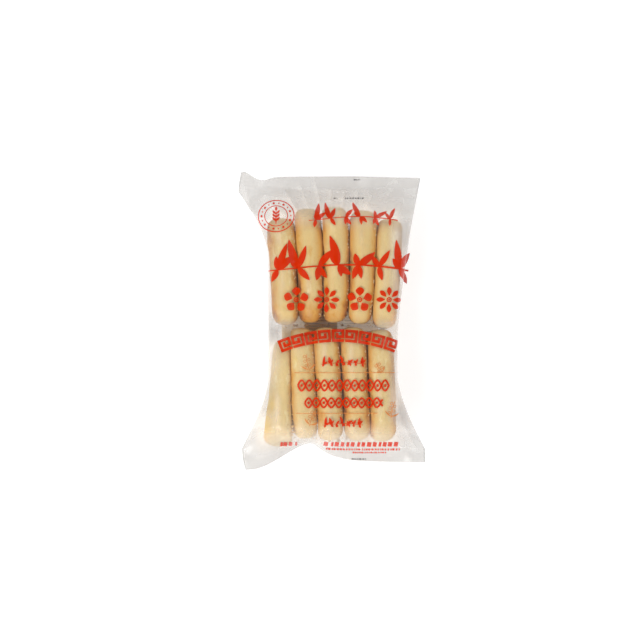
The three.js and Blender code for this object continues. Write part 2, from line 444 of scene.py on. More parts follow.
def lerp(a, b, t):
    """The value the share t of the way from a to b."""
    return a + (b - a) * t


def bump(t, wide):
    """A bell of height 1: e to the minus (t / wide) squared."""
    return np.exp(-((t / wide) ** 2))


def soft_ramp(t, wide):
    """0 left of zero and t right of it, rounded over wide: (t + hypot(t, wide)) / 2."""
    return (t + np.hypot(t, wide)) / 2


def noise(points, name):
    """One of the named noises, smooth and from 0 to 1, at points of shape (..., 3).

    Random values on a cubic lattice of its cell size are blended between the
    eight lattice points round each point, with smoothstep weights along each axis.
    """
    cell, seed = NOISES[name]
    lattice = np.random.default_rng(seed).random([NOISE_LATTICE] * 3)
    scaled = np.asarray(points, float) / cell
    base = np.floor(scaled).astype(int)
    weight = smoothstep(0, 1, scaled - base)
    total = np.zeros(scaled.shape[:-1])
    for corner in itertools.product((0, 1), repeat=3):
        index = (base + corner) % NOISE_LATTICE
        share = np.prod(np.where(corner, weight, 1 - weight), axis=-1)
        total += share * lattice[index[..., 0], index[..., 1], index[..., 2]]
    return total


def flat_noise(x, y, name):
    """The same over the plane z = 0, squeezed or slanted as the table says."""
    flat = np.stack(np.broadcast_arrays(x, y, 0.0), axis=-1)
    flat[..., :2] = flat[..., :2] @ np.transpose(NOISE_SLANTS.get(name, NOT_SLANTED))
    return noise(flat, name)


def slopes(height_at, x, y, reach):
    """How steeply a height rises along X and along Y: the difference of its values
    a reach either side, over twice the reach."""
    along_x = height_at(x + reach, y) - height_at(x - reach, y)
    along_y = height_at(x, y + reach) - height_at(x, y - reach)
    return along_x / (2 * reach), along_y / (2 * reach)


# ---- The film's form ---------------------------------------------------------

def side_reach(side, y):
    """How far one side edge stands from the middle line at y: the waist plus, at
    each end, a power curve up to the corner and a slight drawing in past it."""
    reach = np.full(np.shape(y), side["waist"])
    for flare in (side["top"], side["foot"]):
        span = flare["end"] - flare["start"]
        run = (y - flare["start"]) / span
        past = np.maximum(run - 1, 0) * abs(span)
        drawn = flare["draw"] * np.minimum(past / (2 * SEAL_LONG), 1) ** 2
        reach = reach + flare["grow"] * np.clip(run, 0, 1) ** flare["bend"] - drawn
    return reach


def top_edge(x):
    """Y of the top seal's cut edge: a low parabola, a bell up at the flicked
    corner, and a bell down beside it."""
    flick = TOP_SEAL["flick"] * bump(x - TOP_SEAL["flick_x"], TOP_SEAL["flick_wide"])
    hollow = TOP_SEAL["hollow"] * bump(x - TOP_SEAL["hollow_x"], TOP_SEAL["flick_wide"])
    return TOP_SEAL["edge"] - TOP_SEAL["crown"] * (x / FILM_HALF_WIDE) ** 2 + flick - hollow


def tuck_to_right(x):
    """1 at the foot seal's tuck and left of it, fading out to its right."""
    return np.exp(-soft_ramp(x - FOOT_SEAL["tuck_x"], TUCK_ROUND) / FOOT_SEAL["tuck_fade"])


def slope_to_left(x):
    """0 at the tuck and right of it, rising to 1 along the slope to its left."""
    return smoothstep(-TUCK_ROUND, FOOT_SEAL["slope_long"] - TUCK_ROUND, FOOT_SEAL["tuck_x"] - x)


def foot_edge(x):
    """Y of the foot seal's cut edge: raised at the tuck, lowered along the slope."""
    raised = FOOT_SEAL["tuck"] * tuck_to_right(x)
    return FOOT_SEAL["edge"] + raised - FOOT_SEAL["slope"] * slope_to_left(x)


def end_bend(y):
    """0 over the breads, rising by a power to 1 at either cut edge."""
    run = (np.abs(y) - BEND_START) / (CUT_END_Y - BEND_START)
    return np.clip(run, 0, 1) ** BEND_POWER


def end_shift(x, y):
    """How far a point at x and nominal y moves along Y as the seals bend."""
    shift = np.where(y > 0, top_edge(x) - CUT_END_Y, foot_edge(x) + CUT_END_Y)
    return shift * end_bend(y)


def fullness(y):
    """1 over the breads, falling to 0 where a seal begins: (1 - run^a)^b."""
    from_gap = np.abs(y - ROW_GAP_Y)
    shoulder = ROW_GAP / 2 + BREAD_LONG - SHOULDER_LONG
    seal = CUT_END_Y - SEAL_LONG - np.sign(y - ROW_GAP_Y) * ROW_GAP_Y
    run = np.clip((from_gap - shoulder) / (seal - shoulder), 0, 1)
    return (1 - run ** TAPER_START_POWER) ** TAPER_END_POWER


def section_powers(y):
    """The powers a and t of a section |x / half width|^a + (z / height)^t = 1."""
    lens = smoothstep(BOX_SECTION["until"], LENS_SECTION["from"], np.abs(y))
    across = lerp(BOX_SECTION["across"], LENS_SECTION["across"], lens)
    tall = 1 / lerp(1 / BOX_SECTION["tall"], 1 / LENS_SECTION["tall"], lens)
    return across, tall


def dip(x, y):
    """How far the film sinks at x, y: a sine-squared dip between neighbouring
    breads of a row, and a bell-shaped trough between the rows."""
    upper = y > ROW_GAP_Y
    middle = ROW_GAP_Y + np.where(upper, 1, -1) * (ROW_GAP + BREAD_LONG) / 2
    along = y - middle
    row_x = np.where(upper, UPPER_ROW["x"], LOWER_ROW["x"])
    spread = np.where(upper, math.tan(UPPER_ROW["spread"]), math.tan(LOWER_ROW["spread"]))
    lean = np.where(upper, math.tan(UPPER_ROW["lean"]), math.tan(LOWER_ROW["lean"]))
    breads = (x - row_x + along * lean) / (BREAD_THICK + along * spread)
    last = BREADS_IN_ROW / 2 - 1
    in_row = 1 - smoothstep(*LAST_DIP_FADE, np.abs(breads) - last)
    in_length = 1 - smoothstep(BREAD_LONG / 2 - DIP_FADE, BREAD_LONG / 2, np.abs(along))
    between = DIP_BETWEEN_BREADS * np.sin(np.pi * breads) ** 2 * in_row * in_length
    return between + DIP_BETWEEN_ROWS * bump(y - ROW_GAP_Y, ROW_DIP_WIDE)


def ripple(x, y):
    """A wave that both layers share in the seals and flared corners: a sine along
    X whose phase wanders by noise, and a second one down each flared side."""
    wander = RIPPLE["wander"] * flat_noise(x, y, "ripple")
    seal = np.sin(2 * np.pi * x / RIPPLE["long"] + wander) * smoothstep(*RIPPLE["seal"], np.abs(y))
    flare = np.sin(2 * np.pi * y / RIPPLE["flare_long"] + wander)
    flare = flare * smoothstep(*RIPPLE["flare"], np.abs(x))
    both = RIPPLE["seal_share"] * seal + flare
    return RIPPLE["deep"] * both * smoothstep(*RIPPLE["ends"], np.abs(y))


def pleats(x, y):
    """Folds that fan out past the breads' ends: 1 minus the size of a sine of the
    angle round a point behind each end, which leaves sharp crests, thinned out
    and bent by noise."""
    angle = np.arctan2(x, np.abs(y) - PLEATS["from_y"])
    wander = PLEATS["wander"] * flat_noise(x, y, "pleat_turns")
    turns = angle / np.pi * PLEATS["in_half_turn"] + wander
    crest = (1 - np.abs(np.sin(np.pi * turns))) ** PLEATS["sharp"]
    cover = smoothstep(*PLEATS["cover"], flat_noise(x, y, "pleat_cover"))
    return PLEATS["deep"] * crest * cover * smoothstep(*PLEATS["past_ends"], np.abs(y))


def long_folds(x, y):
    """Single creases of the slack film: along each a sharp crest, e to the minus
    (distance / width), that bows a little and rises and fades like a sine."""
    height = np.zeros(np.broadcast(x, y).shape)
    for x0, y0, x1, y1, deep, wide in LONG_FOLDS:
        length = math.hypot(x1 - x0, y1 - y0)
        along = ((x - x0) * (x1 - x0) + (y - y0) * (y1 - y0)) / length ** 2
        aside = ((y - y0) * (x1 - x0) - (x - x0) * (y1 - y0)) / length
        aside = aside + FOLD_BOW * length * np.sin(np.pi * along)
        rounded = np.sin(np.pi * np.clip(along, 0, 1)) ** FOLD_ROUND
        height += deep * np.exp(-np.abs(aside) / wide) * rounded
    return height


def crinkle_lines(x, y):
    """Thin lines where a noise is near its middle value, and finer, lower ones where
    a second noise is: each is a power of 1 minus twice the distance from it."""
    first = 1 - np.abs(2 * flat_noise(x, y, "crinkles") - 1)
    second = 1 - np.abs(2 * flat_noise(x, y, "fine_crinkles") - 1)
    return first ** CRINKLES["sharp"] + CRINKLES["fine_share"] * second ** CRINKLES["fine_sharp"]


def slack(x, y):
    """0 where the film is drawn tight over a bread, 1 where it hangs free."""
    past_ends = smoothstep(*SLACK["ends"], np.abs(y))
    in_dip = SLACK["in_dip"] * np.clip(dip(x, y) / DIP_BETWEEN_BREADS, 0, 1)
    at_side = smoothstep(*SLACK["sides"], np.abs(x))
    return np.maximum(past_ends, np.maximum(in_dip, at_side))


def fold_light(x, y):
    """How far the folds face the main lamp: how steeply they rise away from it,
    from the difference of their height at two points either side. It sets the
    painted shade in the haze and the painted highlights on the fold crests."""
    reach, apart = 1.0, 2.8

    def height_at(px, py):
        return long_folds(px, py) + pleats(px, py)

    return (height_at(x + reach, y + reach) - height_at(x - reach, y - reach)) / apart


def painted_gleam(x, y):
    """Soft broken highlights painted where the film turns over the breads: a bell across
    each bread's upper edge, a little left of it, broken along it by noise."""
    total = np.zeros(np.broadcast(x, y).shape)
    for bread in BREADS.values():
        along = y - bread.y
        aside = x - bread.x + along * math.tan(math.radians(bread.yaw)) + PAINTED_GLEAM["aside"]
        total += bump(aside, PAINTED_GLEAM["wide"]) * smoothstep(*PAINTED_GLEAM["length"], np.abs(along) / bread.long)
    return total * smoothstep(*PAINTED_GLEAM["broken"], flat_noise(x, y, "painted_gleam"))


def side_haze(x, y):
    """Haze beside the breads, clouded and thinner towards the ends, and a patch to
    the left of the lower row's upper end."""
    left = HAZE["left_share"] * smoothstep(*HAZE["left"], -x)
    right = HAZE["right_share"] * smoothstep(*HAZE["right"], x)
    cloud = lerp(*HAZE["side_cloud"], flat_noise(x, y, "side_haze"))
    length = lerp(HAZE["side_at_ends"], 1, smoothstep(*HAZE["side_length"], np.abs(y)))
    corner = bump(x - HAZE["corner_x"], HAZE["corner_wide"])
    corner = corner * smoothstep(*HAZE["corner_from"], y) * smoothstep(*HAZE["corner_to"], y)
    return np.where(x < 0, left, right) * cloud * length + HAZE["corner"] * corner


def film_haze_and_painted_light(x, y):
    """How milky the film is: faint where it is pressed to the breads, growing past
    their ends and sides, with painted shade that makes it greyer on the far side of
    each fold from the main lamp, and painted highlights in fine lines, gleams and
    streaks where it isn't free."""
    from_rows = y - ROW_GAP_Y
    ends = np.where(y > 0, smoothstep(*HAZE["top"], y), smoothstep(*HAZE["foot"], -y))
    outer = np.maximum(smoothstep(*HAZE["rows_right"], x), smoothstep(*HAZE["rows_left"], -x))
    between_rows = bump(from_rows, HAZE["rows_wide"]) * outer
    free = np.maximum(np.maximum(ends, side_haze(x, y)), between_rows)
    tight = HAZE["tight"] + HAZE["tight_lower"] * (from_rows < 0)
    tight = tight + HAZE["tight_cloud"] * flat_noise(x, y, "tight_haze") ** 2
    # Painted shade: more haze on the side of each fold away from the main lamp.
    shade = 1 - HAZE["shade"] * np.clip(fold_light(x, y), -HAZE["most_shade"], HAZE["most_shade"])
    # Painted highlights: milky crinkle lines, gleams along the breads' edges and streaks across the gap
    # between the rows.
    broken = smoothstep(*HAZE["streaks"], flat_noise(x, y, "streaks"))
    streaks = bump(from_rows, HAZE["streak_wide"]) * broken
    marks = HAZE["line"] * crinkle_lines(x, y) + HAZE["painted_gleam"] * painted_gleam(x, y) + HAZE["streak"] * streaks
    return (tight + HAZE["free"] * free) * shade + marks * (1 - ends)


def film_painted_sheen(x, y):
    """Painted highlights on the film: how far its colour goes from the haze's tint to
    its lit colour, over the breads' ends, down the sides, along the gleams and on
    the crests of the folds that face the main lamp."""
    middle = PAINTED_SHEEN["middle_x"]
    top = bump(y - PAINTED_SHEEN["top_y"], PAINTED_SHEEN["top_wide"])
    top = top * smoothstep(*PAINTED_SHEEN["top_sides"], np.abs(x - middle))
    foot = bump(y - PAINTED_SHEEN["foot_y"], PAINTED_SHEEN["foot_wide"])
    foot = foot * smoothstep(*PAINTED_SHEEN["foot_sides"], np.abs(x + middle))
    left = bump(x - PAINTED_SHEEN["left_x"], PAINTED_SHEEN["left_wide"])
    left = left * smoothstep(*PAINTED_SHEEN["left_from"], y) * smoothstep(*PAINTED_SHEEN["left_to"], y)
    right = bump(x - PAINTED_SHEEN["right_x"], PAINTED_SHEEN["right_wide"])
    right = right * smoothstep(*PAINTED_SHEEN["right_length"], np.abs(y))
    zones = np.maximum(np.maximum(top, foot), np.maximum(left, PAINTED_SHEEN["right"] * right))
    zones = zones * (PAINTED_SHEEN["least_cloud"] + flat_noise(x, y, "sheen"))
    # Painted highlights on the crests of the folds that face the main lamp.
    crests = np.clip(fold_light(x, y) * PAINTED_SHEEN["crest"] - PAINTED_SHEEN["crest_from"], 0, PAINTED_SHEEN["most_crest"])
    return np.clip(np.maximum(zones, painted_gleam(x, y)) + crests, 0, 1)


def mid_height(x, y):
    """Height of the side edges and seals above the surface the bag lies on."""
    lift = TOP_SEAL["flick_lift"] * bump(x - TOP_SEAL["flick_x"], 2 * TOP_SEAL["flick_wide"])
    drop = FOOT_SEAL["tuck_drop"] * tuck_to_right(x) * (1 - slope_to_left(x))
    seal = np.where(y > 0, TOP_SEAL["height"] + lift, FOOT_SEAL["height"] - drop)
    wave = SEAL_WAVE * np.sin(x / SEAL_WAVE_LONG * np.pi)
    return lerp(SIDE_HEIGHT, seal + wave, end_bend(y))


def film_height(x, y, height, front):
    """Height of the film at x, nominal y and a share `height` of the section.

    The shown side is the middle height plus the crown, less the dips, plus the
    folds. The back is the middle height less the belly, held up to the floor.
    """
    full = fullness(y)
    middle = mid_height(x, y) + ripple(x, y)
    if front:
        crown = np.maximum(CROWN * full, SEAL_HALF_THICK)
        crinkles = CRINKLES["deep"] * crinkle_lines(x, y) * slack(x, y)
        folds = (pleats(x, y) + crinkles + long_folds(x, y)) * np.minimum(crown / FOLD_ROOM, 1)
        return middle + (crown - dip(x, y) * full + folds) * height
    belly = np.maximum(BELLY * full, SEAL_HALF_THICK)
    return np.maximum(middle - belly * height, BACK_CLEAR)


def nominal_y(x, y):
    """The nominal y that ends up at x and plan position y once the seals bend,
    found by halving the interval that holds it."""
    low, high = y - MOST_END_SHIFT, y + MOST_END_SHIFT
    for _ in range(HALVINGS):
        half = (low + high) / 2
        beyond = half + end_shift(x, half) > y
        low, high = np.where(beyond, low, half), np.where(beyond, half, high)
    return (low + high) / 2


def half_width(x, y):
    """How far the side edge on the side of x stands from the middle line."""
    return np.where(x < 0, side_reach(LEFT, y), side_reach(RIGHT, y))


def on_film(x, y, front=True, lift=PRINT_LIFT):
    """Points on the film above or below plan positions x, y, raised off it along
    the surface's own normal, which comes from the slopes of its height."""

    def height_at(px, py):
        across = np.minimum(np.abs(px) / half_width(px, py), 1)
        power, tall = section_powers(py)
        return film_height(px, py, (1 - across ** power) ** (1 / tall), front)

    nominal = nominal_y(x, y)
    z = height_at(x, nominal)
    slope_x, slope_y = slopes(height_at, x, nominal, SLOPE_REACH)
    slope_x, slope_y = np.clip([slope_x, slope_y], -STEEPEST, STEEPEST)
    normal = np.stack([-slope_x, -slope_y, np.ones_like(z)], axis=-1)
    normal /= np.linalg.norm(normal, axis=-1, keepdims=True)
    return np.stack([x, y, z], axis=-1) + normal * np.asarray(lift)[..., None]


def layer_heights(x, y):
    """How high the back and the front layer of film are at plan positions x, y."""
    return on_film(x, y, front=False, lift=0)[:, 2], on_film(x, y, lift=0)[:, 2]


# ---- Meshes ------------------------------------------------------------------

def grid_quads(rows, columns, wrap_columns=False):
    """Four-sided faces of a grid of rows by columns, as indices row by row."""
    down = np.arange(rows - 1)[:, None] * columns
    across = np.arange(columns if wrap_columns else columns - 1)[None, :]
    beside = (across + 1) % columns
    corners = [down + across, down + beside, down + columns + beside, down + columns + across]
    return np.stack(corners, axis=-1).reshape(-1, 4)


def closed_faces(rows, columns):
    """Faces of a grid that wraps along its second axis and is closed at either end
    by a fan round a middle point, those two points last. -> quads, triangles"""
    step = np.arange(columns)
    beside = (step + 1) % columns
    last = (rows - 1) * columns
    middle = np.full(columns, rows * columns)
    first_fan = np.stack([middle, beside, step], axis=1)
    last_fan = np.stack([middle + 1, last + step, last + beside], axis=1)
    return grid_quads(rows, columns, wrap_columns=True), np.vstack([first_fan, last_fan])


def make_piece(name, points, faces, material, values=None, uv=None):
    """A smooth-shaded mesh piece from points in millimetres, riding on the body.

    `values` are named numbers for each point, and `uv` is a pair for each point.
    """
    mesh = bpy.data.meshes.new(name)
    mesh.from_pydata((np.asarray(points) * MM).tolist(), [], [list(face) for face in faces])
    mesh.polygons.foreach_set("use_smooth", np.ones(len(mesh.polygons), bool))
    for key, numbers in (values or {}).items():
        attribute = mesh.attributes.new(key, "FLOAT", "POINT")
        attribute.data.foreach_set("value", np.asarray(numbers, np.float32).ravel())
    if uv is not None:
        corner_points = np.empty(len(mesh.loops), np.int32)
        mesh.loops.foreach_get("vertex_index", corner_points)
        layer = mesh.uv_layers.new(name="UVMap")
        layer.data.foreach_set("uv", np.asarray(uv, np.float32)[corner_points].ravel())
    mesh.materials.append(material)
    mesh.update()
    piece = bpy.data.objects.new(name, mesh)
    bpy.context.scene.collection.objects.link(piece)
    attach(piece, BODY)
    return piece


def grid_normals(points):
    """Outward normals of a grid that wraps along its second axis, from the cross
    product of its two directions."""
    down = np.gradient(points, axis=0)
    around = np.roll(points, -1, axis=1) - np.roll(points, 1, axis=1)
    normal = np.cross(around, down)
    return normal / (np.linalg.norm(normal, axis=-1, keepdims=True) + 1e-9)


def scatter(form, faces, places, axes, sizes):
    """Copies of one form: each point is scaled, turned to the copy's own axes and
    moved to its place. -> all points, all faces"""
    turned = np.einsum("nki,mk,nk->nmi", axes, form, sizes)
    points = (turned + places[:, None, :]).reshape(-1, 3)
    offsets = np.arange(len(places))[:, None, None] * len(form)
    return points, (faces[None, :, :] + offsets).reshape(-1, faces.shape[1])


def round_form(rows, columns, rough=None):
    """A small closed ball of radius 1 from a grid of angles, its poles pinched to
    points, and roughened by a random factor for each point where `rough` is given."""
    polar = np.linspace(0, np.pi, rows)[:, None]
    turn = np.linspace(0, 2 * np.pi, columns, endpoint=False)[None, :]
    radius = np.ones((rows, columns))
    if rough is not None:
        radius[1:-1] = rough.uniform(0.55, 1.15, (rows - 2, columns))
    x = np.cos(polar) * radius
    y = np.sin(polar) * np.cos(turn) * radius
    z = np.sin(polar) * np.sin(turn) * radius
    body = np.stack([x, y, z], axis=-1)[1:-1].reshape(-1, 3)
    quads, fans = closed_faces(rows - 2, columns)
    triangles = np.vstack([quads[:, [0, 2, 1]], quads[:, [0, 3, 2]], fans[:, ::-1]])
    return np.vstack([body, [[1, 0, 0], [-1, 0, 0]]]), triangles


# ---- Node helpers ------------------------------------------------------------

def add_node(tree, kind, inputs=None, **settings):
    """A node of that kind with its settings, and its inputs set or linked."""
    node = tree.nodes.new(kind)
    for key, value in settings.items():
        setattr(node, key, value)
    for key, value in (inputs or {}).items():
        socket = node.inputs[key]
        if isinstance(value, bpy.types.NodeSocket):
            tree.links.new(value, socket)
        else:
            socket.default_value = value
    return node


def math_node(tree, operation, first, second=0.0, clamp=False):
    """The output of a Math node on two numbers or sockets."""
    node = add_node(tree, "ShaderNodeMath", {0: first, 1: second}, operation=operation, use_clamp=clamp)
    return node.outputs[0]


def plus(tree, first, second):
    """The sum of two numbers or sockets."""
    return math_node(tree, "ADD", first, second)


def times(tree, first, second):
    """The product of two numbers or sockets."""
    return math_node(tree, "MULTIPLY", first, second)


def mix_colour(tree, factor, first, second):
    """The colour the share `factor` of the way from the first to the second."""
    return add_node(tree, "ShaderNodeMix", {0: factor, 6: first, 7: second}, data_type="RGBA").outputs[2]


def ramp(tree, factor, stops):
    """A colour ramp through (position, colour) stops."""
    node = add_node(tree, "ShaderNodeValToRGB", {0: factor})
    elements = node.color_ramp.elements
    while len(elements) < len(stops):
        elements.new(0.5)
    for element, (position, colour) in zip(elements, stops):
        element.position = position
        element.color = colour
    return node.outputs[0]


def map_range(tree, value, low, high, to_low=0.0, to_high=1.0):
    """A value carried smoothly from one range to another, and held at its ends."""
    inputs = {0: value, 1: low, 2: high, 3: to_low, 4: to_high}
    node = add_node(tree, "ShaderNodeMapRange", inputs, interpolation_type="SMOOTHSTEP")
    return node.outputs[0]


def new_group(name, inputs, outputs):
    """An empty node group with float inputs and outputs. -> group, its two ends"""
    group = bpy.data.node_groups.new(name, "ShaderNodeTree")
    for label, default in inputs.items():
        socket = group.interface.new_socket(label, in_out="INPUT", socket_type="NodeSocketFloat")
        socket.default_value = default
    for label in outputs:
        group.interface.new_socket(label, in_out="OUTPUT", socket_type="NodeSocketFloat")
    return group, group.nodes.new("NodeGroupInput"), group.nodes.new("NodeGroupOutput")


def patches_group():
    """Soft-edged patches of noise: `Size` across in metres, drawn out along Y by
    `Stretch`, more of them as `Amount` goes up, put out as a mask."""
    if "Soft patches" in bpy.data.node_groups:
        return bpy.data.node_groups["Soft patches"]
    inputs = {"Size": 0.01, "Stretch": 1.0, "Amount": 0.5}
    group, start, end = new_group("Soft patches", inputs, ["Mask"])
    place = add_node(group, "ShaderNodeTexCoord").outputs["Object"]
    along = math_node(group, "DIVIDE", 1.0, start.outputs["Stretch"])
    squeeze = add_node(group, "ShaderNodeCombineXYZ", {"X": 1.0, "Y": along, "Z": 1.0}).outputs[0]
    drawn = add_node(group, "ShaderNodeVectorMath", {0: place, 1: squeeze}, operation="MULTIPLY")
    scale = math_node(group, "DIVIDE", 1.0, start.outputs["Size"])
    cloud = add_node(group, "ShaderNodeTexNoise", {
        "Vector": drawn.outputs[0], "Scale": scale, "Detail": 3.0,
    })
    more = times(group, start.outputs["Amount"], PATCH_EDGE["per_amount"])
    low = math_node(group, "SUBTRACT", PATCH_EDGE["bare"], more)
    high = plus(group, low, PATCH_EDGE["soft"])
    group.links.new(map_range(group, cloud.outputs[0], low, high), end.inputs["Mask"])
    return group


def crust_group():
    """The fine relief of baked dough: broad wrinkles and small pores, each from
    its own noise, put out as a height and as a mask of the pores."""
    if "Crust relief" in bpy.data.node_groups:
        return bpy.data.node_groups["Crust relief"]
    inputs = {"Wrinkle Size": 0.004, "Pore Size": 0.0009}
    group, start, end = new_group("Crust relief", inputs, ["Height", "Pores"])
    place = add_node(group, "ShaderNodeTexCoord").outputs["Object"]
    wrinkle_scale = math_node(group, "DIVIDE", 1.0, start.outputs["Wrinkle Size"])
    pore_scale = math_node(group, "DIVIDE", 1.0, start.outputs["Pore Size"])
    wrinkles = add_node(group, "ShaderNodeTexNoise", {
        "Vector": place, "Scale": wrinkle_scale, "Detail": 4.0, "Roughness": 0.55,
    })
    cells = add_node(group, "ShaderNodeTexVoronoi", {"Vector": place, "Scale": pore_scale})
    rims = map_range(group, cells.outputs["Distance"], *PORE_RIM)
    height = plus(group, wrinkles.outputs[0], times(group, rims, PORE_DEEP))
    group.links.new(height, end.inputs["Height"])
    group.links.new(math_node(group, "SUBTRACT", 1.0, rims), end.inputs["Pores"])
    return group


def use_group(tree, group, **inputs):
    """A node that places a group with its own values."""
    node = tree.nodes.new("ShaderNodeGroup")
    node.node_tree = group
    for label, value in inputs.items():
        node.inputs[label.replace("_", " ")].default_value = value
    return node


def patches(tree, size, amount, stretch=1.0):
    """The mask of soft-edged patches of that size in metres."""
    return use_group(tree, patches_group(), Size=size, Amount=amount, Stretch=stretch).outputs["Mask"]


def add_relief(tree, shader, height, strength, distance):
    """Bumps a surface by a height, which stands for up to that distance in metres."""
    inputs = {"Strength": strength, "Distance": distance, "Height": height}
    bumps = add_node(tree, "ShaderNodeBump", inputs)
    tree.links.new(bumps.outputs[0], shader.inputs["Normal"])


def new_material(name, **settings):
    """A material with one Principled BSDF, its plain sockets set. -> material, tree, shader"""
    material = bpy.data.materials.new(name)
    material.use_nodes = True
    shader = material.node_tree.nodes["Principled BSDF"]
    for label, value in settings.items():
        shader.inputs[label.replace("_", " ")].default_value = value
    return material, material.node_tree, shader


def attribute_value(tree, name):
    """The number each point of a mesh carries under that name."""
    return add_node(tree, "ShaderNodeAttribute", attribute_name=name).outputs["Fac"]


def solid(colour, share=1.0):
    """A colour darkened to a share of itself, with full cover."""
    return (colour[0] * share, colour[1] * share, colour[2] * share, 1.0)


# ---- Materials ---------------------------------------------------------------

def film_material(settings):
    """Clear film with a milky haze that grows where it hangs free, painted highlights
    that turn its colour towards the lit colour, a fine ribbed seal, and a glossy uneven surface."""
    material, tree, shader = new_material(
        "clear_film", Roughness=0.24, IOR=1.5, Coat_Weight=0.25, Coat_Roughness=0.1)
    # Painted highlights: the haze's colour goes from its tint to the lit colour by the painted sheen
    # number.
    milk_and_highlight = mix_colour(tree, attribute_value(tree, "sheen"), solid(settings.tint), solid(settings.lit))
    tree.links.new(milk_and_highlight, shader.inputs["Base Color"])

    streaks = map_range(tree, patches(tree, size=0.03, amount=0.6), 0, 1, *MILK_STREAKS)
    # The haze number holds painted shade and highlights as well as the film's milkiness.
    haze = times(tree, attribute_value(tree, "haze"), streaks)
    cover = math_node(tree, "MULTIPLY", haze, settings.haze, clamp=True)
    tree.links.new(cover, shader.inputs["Alpha"])

    uv = add_node(tree, "ShaderNodeUVMap", uv_map="UVMap").outputs[0]
    along = add_node(tree, "ShaderNodeSeparateXYZ", {0: uv}).outputs["Y"]
    rib_wave = math_node(tree, "SINE", times(tree, along, 2 * math.pi / RIB_PITCH))
    ribs = times(tree, rib_wave, attribute_value(tree, "seal"))
    place = add_node(tree, "ShaderNodeTexCoord").outputs["Object"]
    skin = add_node(tree, "ShaderNodeTexNoise", {"Vector": place, "Scale": 70.0, "Detail": 2.0})
    height = plus(tree, times(tree, ribs, RIB_HIGH), skin.outputs[0])
    add_relief(tree, shader, height, strength=0.3, distance=0.0006)
    return material


def bread_material(settings):
    """Baked dough: pale at the edge, golden to brown on the broad faces, with
    uneven toasting, a dusting of flour, small dark specks, a fine crust, and
    painted shade that darkens its pores."""
    material, tree, shader = new_material(
        "baked_dough", Roughness=0.7, IOR=1.4, Specular_IOR_Level=0.3, Subsurface_Weight=0.12,
        Subsurface_Radius=(0.004, 0.002, 0.001), Subsurface_Scale=0.6)
    masks = {name: patches(tree, *sizes) for name, sizes in DOUGH_PATCHES.items()}
    relief = use_group(tree, crust_group(), Wrinkle_Size=0.0042, Pore_Size=0.0011)

    toast = plus(tree, attribute_value(tree, "toast"), -TOAST_MEAN)
    for name, share in TOAST_PATCHES.items():
        toast = plus(tree, toast, times(tree, masks[name], share))
    crust = ramp(tree, toast, [(at, solid(getattr(settings, name))) for name, at in TOAST_STOPS.items()])
    yellow = times(tree, masks["yellow"], DOUGH_MIX["yellow"])
    buttery = mix_colour(tree, yellow, crust, solid(settings.butter))
    dust = map_range(tree, masks["flour"], 0, 1, *DUST_COVER)
    dusty = times(tree, dust, attribute_value(tree, "flour"))
    floured = mix_colour(tree, dusty, buttery, solid(settings.flour))
    edged = mix_colour(tree, attribute_value(tree, "gold"), floured, solid(settings.butter))
    specks = times(tree, masks["specks"], DOUGH_MIX["specks"])
    speckled = mix_colour(tree, specks, edged, solid(settings.brown, 0.6))
    # Painted shade: the crust is darkened in its pores, the dents of its relief.
    pores = times(tree, relief.outputs["Pores"], DOUGH_MIX["pores"])
    pore_shaded = mix_colour(tree, pores, speckled, solid(settings.golden, 0.7))
    tree.links.new(pore_shaded, shader.inputs["Base Color"])
    tree.links.new(map_range(tree, dusty, 0, 1, *DOUGH_ROUGHNESS), shader.inputs["Roughness"])
    add_relief(tree, shader, relief.outputs["Height"], strength=0.55, distance=0.0009)
    return material


def crumb_material(name, colour, dark):
    """Seeds and crumbs: one colour varied by small patches, with a fine relief."""
    material, tree, shader = new_material(name, Roughness=0.6)
    tone = mix_colour(tree, patches(tree, size=0.006, amount=0.5), solid(colour), solid(dark))
    tree.links.new(tone, shader.inputs["Base Color"])
    relief = use_group(tree, crust_group(), Wrinkle_Size=0.0012, Pore_Size=0.0004)
    add_relief(tree, shader, relief.outputs["Height"], strength=0.4, distance=0.0003)
    return material


def ink_material(name, colour, cover):
    """Printing ink on film: a glossy thin colour, a little uneven, that lets some
    of what lies behind it through."""
    material, tree, shader = new_material(
        name, Roughness=0.4, Alpha=cover, Specular_IOR_Level=0.12, Coat_Weight=0.03, Coat_Roughness=0.12)
    grain = patches(tree, size=0.0014, amount=0.4)
    uneven = times(tree, patches(tree, size=0.012, amount=0.5), 2 * INK_WEAR)
    lighter = [lerp(channel, 1.0, INK_LIGHTER) for channel in colour]
    shade = mix_colour(tree, uneven, solid(colour), solid(lighter))
    mottled = mix_colour(tree, times(tree, grain, INK_WEAR), shade, solid(colour, INK_DARKER))
    tree.links.new(mottled, shader.inputs["Base Color"])
    tree.links.new(map_range(tree, grain, 0, 1, *INK_ROUGHNESS), shader.inputs["Roughness"])
    return material


def floor_material(settings):
    """A matt pale table lit from inside, with the faintest unevenness."""
    material, tree, shader = new_material(
        "studio_floor", Roughness=0.9, Emission_Color=(1.0, 1.0, 1.0, 1.0),
        Emission_Strength=settings.glow, Specular_IOR_Level=0.0)
    darker = solid(settings.floor, 0.995)
    cloud = mix_colour(tree, patches(tree, size=0.4, amount=0.5), solid(settings.floor), darker)
    tree.links.new(cloud, shader.inputs["Base Color"])
    return material


# ---- The film ----------------------------------------------------------------

